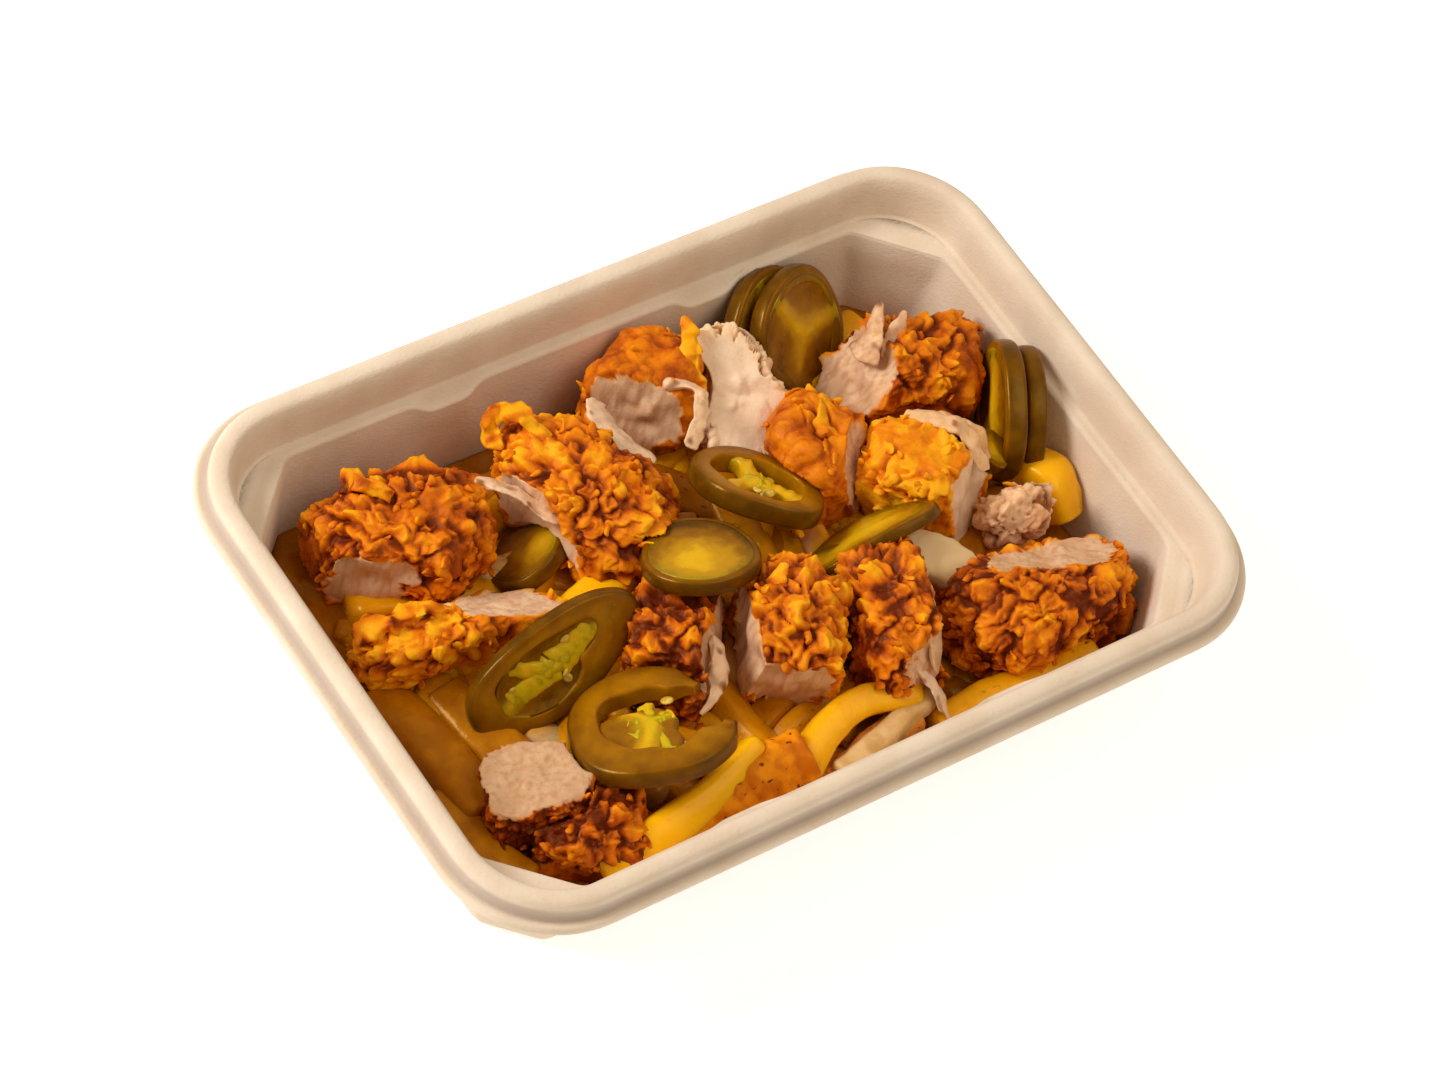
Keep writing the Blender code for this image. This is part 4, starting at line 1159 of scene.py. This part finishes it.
# Four points that a fry's middle passes through, its widths at the start and the end, its thickness,
# its roll in degrees, how much cheese coats it, how much seasoning it carries, how bright the cheese
# on it is (0 dark amber, 1 yellow), partly its own tone and partly painted light and shade, which also pales
# bare potato, and how rough its surface is.
LAID_FRIES = (
    (((-68, -58, 12), (-52, -56, 17), (-36, -53, 20), (-20, -47, 23)), (12.5, 4), 6, -28, 1.0, 0.1, 1.1, 0.3),
    (((-46, -60, 13), (-34, -57, 16), (-22, -55, 18), (-9, -53, 18)), (17, 15), 9, -34, 0.1, 1.0, 0.3, 1.6),
    (((-14, -58, 16), (-2, -51, 20), (11, -48, 21), (26, -52, 20)), (8, 6), 5, -22, 1.0, 0.1, 0.8, 0.4),
    (((29, -53, 19), (20, -55, 18.5), (10, -58, 17.5), (-3, -61, 16)), (5.5, 7), 6, -8, 0.0, 0.0, 0.0, 0.6),
    (((28, -60, 12), (42, -59, 14), (58, -60, 15), (76, -60, 14)), (10, 9), 9, -12, 0.9, 0.3, 0.7, 0.6),
    (((-8, -62, 11), (4, -59, 14), (14, -56, 15), (24, -55, 15)), (8, 8), 8, 10, 0.3, 0.6, 0.1, 1.0),
    (((91, -4, 14), (92.5, -9, 19.5), (94, -15, 20.5), (95, -22, 14)), (10.5, 11), 9, 8, 1.0, 0.0, 0.8, 0.8),
    (((82, 51, 11), (74, 49, 11), (66, 46, 9), (56, 43, 8)), (10, 9), 9, 0, 1.0, 0.1, 0.6, 0.5),
    (((42, -11, 19), (47, -18, 23), (53, -26, 23), (60, -38, 16)), (12, 12), 6, -12, 0.0, 0.0, 1.0, 0.8),
    (((-52, 0, 15), (-42, 3, 17), (-32, 6, 18), (-20, 10, 18)), (11, 10), 8, 5, 0.9, 0.3, 1.0, 0.8),
    (((-90, 10, 10), (-87, -2, 11), (-85, -14, 11), (-83, -30, 10)), (13, 12), 10, 8, 1.0, 0.0, 0.0, 0.4),
    (((-74, 4, 9), (-73, -6, 9.5), (-71, -16, 9.5), (-68, -30, 9)), (12, 13), 10, -4, 1.0, 0.0, 0.1, 0.4),
    (((-92, -20, 8), (-90, -30, 9), (-88, -40, 9), (-84, -50, 8)), (10, 9), 9, 0, 0.8, 0.2, 0.1, 0.8),
    (((-42, -30, 14), (-36, -36, 15), (-28, -42, 15), (-18, -48, 13)), (10, 9), 8, 0, 0.8, 0.2, 0.2, 0.8),
)


def build_bed():
    """The bed: rings of the tray's outline up its side, then drawn in to the middle over a lumpy top."""
    side = np.stack([tray_ring(inset, height, BED_CHAMFER) for inset, height in zip(BED_INSETS, BED_RISE)])
    flat = np.array([1.0, 1.0, 0.0])
    top = side[-1] * flat * np.linspace(1.0, 0.02, BED_ROWS)[1:, None, None]
    top[..., 2] = BED_HEIGHT - 0.5 + 2.2 * domes(top, 13.0, 7001) + 0.8 * waves(top, 4.0, 7011)
    base = side[0] * flat * np.linspace(0.05, 0.95, 6)[:, None, None]
    base[..., 2] = BED_RISE[0]
    return np.concatenate([base, side, top])


def potato_coat(bars, cheese, roughness, salt):
    """Uneven fried surface, then sauce, most of it on top. Returns the points and the sauce's share."""
    out = bars - bars.mean(axis=2, keepdims=True)
    out /= np.linalg.norm(out, axis=-1, keepdims=True)
    rough = 0.5 * waves(bars, 2.6, salt) + 0.6 * waves(bars, 6.0, salt + 1)
    rough = rough + 0.25 * waves(bars, 1.3, salt + 5)
    patch = waves(bars, 11.0, salt + 2) * 0.9 + 0.5 * out[..., 2] + 2.4 * cheese[:, None, None] - 1.1
    coat = eased(patch / 0.35)
    height = rough * roughness[:, None, None] * (1 - 0.5 * coat) + SAUCE_DEPTH * coat
    return within_tray(bars + out * height[..., None]), coat


def loose_paths(count, seed):
    """Middles of loose fries: at random in the tray, kept where both ends lie inside its sloping walls.

    Returns four points along each, and the random numbers' source, to draw the rest of a fry from.
    """
    rng = np.random.default_rng(seed)
    tries = count * TRIES_PER_FRY
    middle = np.stack([rng.uniform(-spread, spread, tries) for spread in LOOSE_SPREAD]
                      + [rng.uniform(*FRY_LEVELS, tries)], axis=-1)
    yaw = rng.uniform(0, math.pi, tries)
    reach = rng.uniform(*FRY_LENGTH, tries) / 2
    tilt = rng.uniform(-FRY_TILT, FRY_TILT, tries)
    arm = np.stack([np.cos(yaw) * reach, np.sin(yaw) * reach, tilt], axis=-1)
    room = np.array(TRAY_HALF) - LOOSE_INSET
    ends = np.abs(np.stack([middle - arm, middle + arm]))[..., :2]
    off_walls = (ends < room).all(axis=-1)
    off_corners = ends.sum(axis=-1) < room.sum() - LOOSE_CORNER
    fits = (off_walls & off_corners).all(axis=0)
    middle, arm = middle[fits][:count], arm[fits][:count]
    bow = rng.normal(0.0, FRY_BOW, (len(middle), 2, 3)) * (1, 1, 0.4)
    points = [middle - arm, middle - arm / 3 + bow[:, 0], middle + arm / 3 + bow[:, 1], middle + arm]
    return np.stack(points, axis=1), rng


def fries_finish():
    """Fried potato under glossy cheese: golden where bare, orange with red specks where seasoned."""
    fries = Finish("sauced_fries", roughness=0.4, coat_roughness=0.2, specular_ior_level=0.45,
                   specular_tint=(1.0, 0.66, 0.14), subsurface_weight=0.2, subsurface_scale=0.003)
    cheese, spice, bright = fries.value("cheese"), fries.value("spice"), fries.value("bright")
    mottled = fries.noise(5.0, 3.0)
    grain = fries.noise(0.9, 3.0)
    specks = fries.noise(1.7, 1.0)
    bare = fries.mix(mottled.step(0.3, 0.7), *POTATO)
    # Painted light: bare potato on a bright fry is painted paler.
    bare = fries.mix(bright ** 3.0 * 0.8, bare, POTATO_PALE)
    seasoned = fries.mix(mottled.step(0.35, 0.65), *SEASONED)
    potato = fries.mix(spice.step(0.2, 0.8), bare, seasoned)
    # Painted light and shade on the sauce, from dark amber to yellow by the fry's value, mottled at random.
    shade = bright + (mottled - 0.5) * 0.5
    amber = fries.mix(shade.step(-0.10, 0.45), *SAUCE_AMBER)
    sauce = fries.mix(shade.step(0.35, 0.95), amber, SAUCE_YELLOW)
    coated = fries.mix(cheese, potato, sauce)
    dots = specks.step(0.66, 0.72) * spice
    fries.feed(fries.shader, "Base Color", fries.mix(dots, coated, SPECK))
    fries.feed(fries.shader, "Roughness", 0.46 - 0.20 * cheese)
    fries.feed(fries.shader, "Coat Weight", cheese * 0.12)
    fries.bump(grain * 0.5 + mottled * 0.5, 0.18)
    return fries


fries_look = fries_finish()
bed = closed_skins("fries_bed", build_bed()[None], fries_look, {"cheese": 1.0, "spice": 0.2, "bright": 0.0})
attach(bed, "root")
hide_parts("fries_heap")

middles, rng = loose_paths(LOOSE_FRIES, 41)
loose = len(middles)
taper = rng.uniform(0.8, 1.0, (loose, 1))
taper = taper + np.linspace(0.0, 0.15, FRY_ROWS) * rng.choice((-1, 1), (loose, 1))
widths = rng.uniform(*FRY_WIDTH, (loose, 1)) * taper
heights = widths * rng.uniform(0.8, 1.0, (loose, 1))
bars = carried_bars(through_points(middles, FRY_ROWS), widths, heights, rng.uniform(-40, 40, loose), 0.5)
skins, coat = potato_coat(bars, rng.uniform(0.35, 1.0, loose), rng.uniform(0.4, 1.2, loose), 7101)
piece = closed_skins("loose_fries", skins, fries_look,
                     {"cheese": coat, "spice": rng.uniform(0, 0.7, loose)[:, None, None],
                      "bright": rng.uniform(0.0, 0.6, loose)[:, None, None]})
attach(piece, "root")

paths = np.array([row[0] for row in LAID_FRIES], float)
widths = np.array([np.linspace(*row[1], LAID_ROWS) for row in LAID_FRIES])
heights = np.array([np.full(LAID_ROWS, row[2]) for row in LAID_FRIES])
rolls, cheese, spice, bright, roughness = np.array([row[3:] for row in LAID_FRIES], float).T
bars = carried_bars(through_points(paths, LAID_ROWS), widths, heights, rolls, 0.55)
skins, coat = potato_coat(bars, cheese, roughness, 7201)
piece = closed_skins("laid_fries", skins, fries_look,
                     {"cheese": coat, "spice": spice[:, None, None], "bright": bright[:, None, None]})
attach(piece, "root")
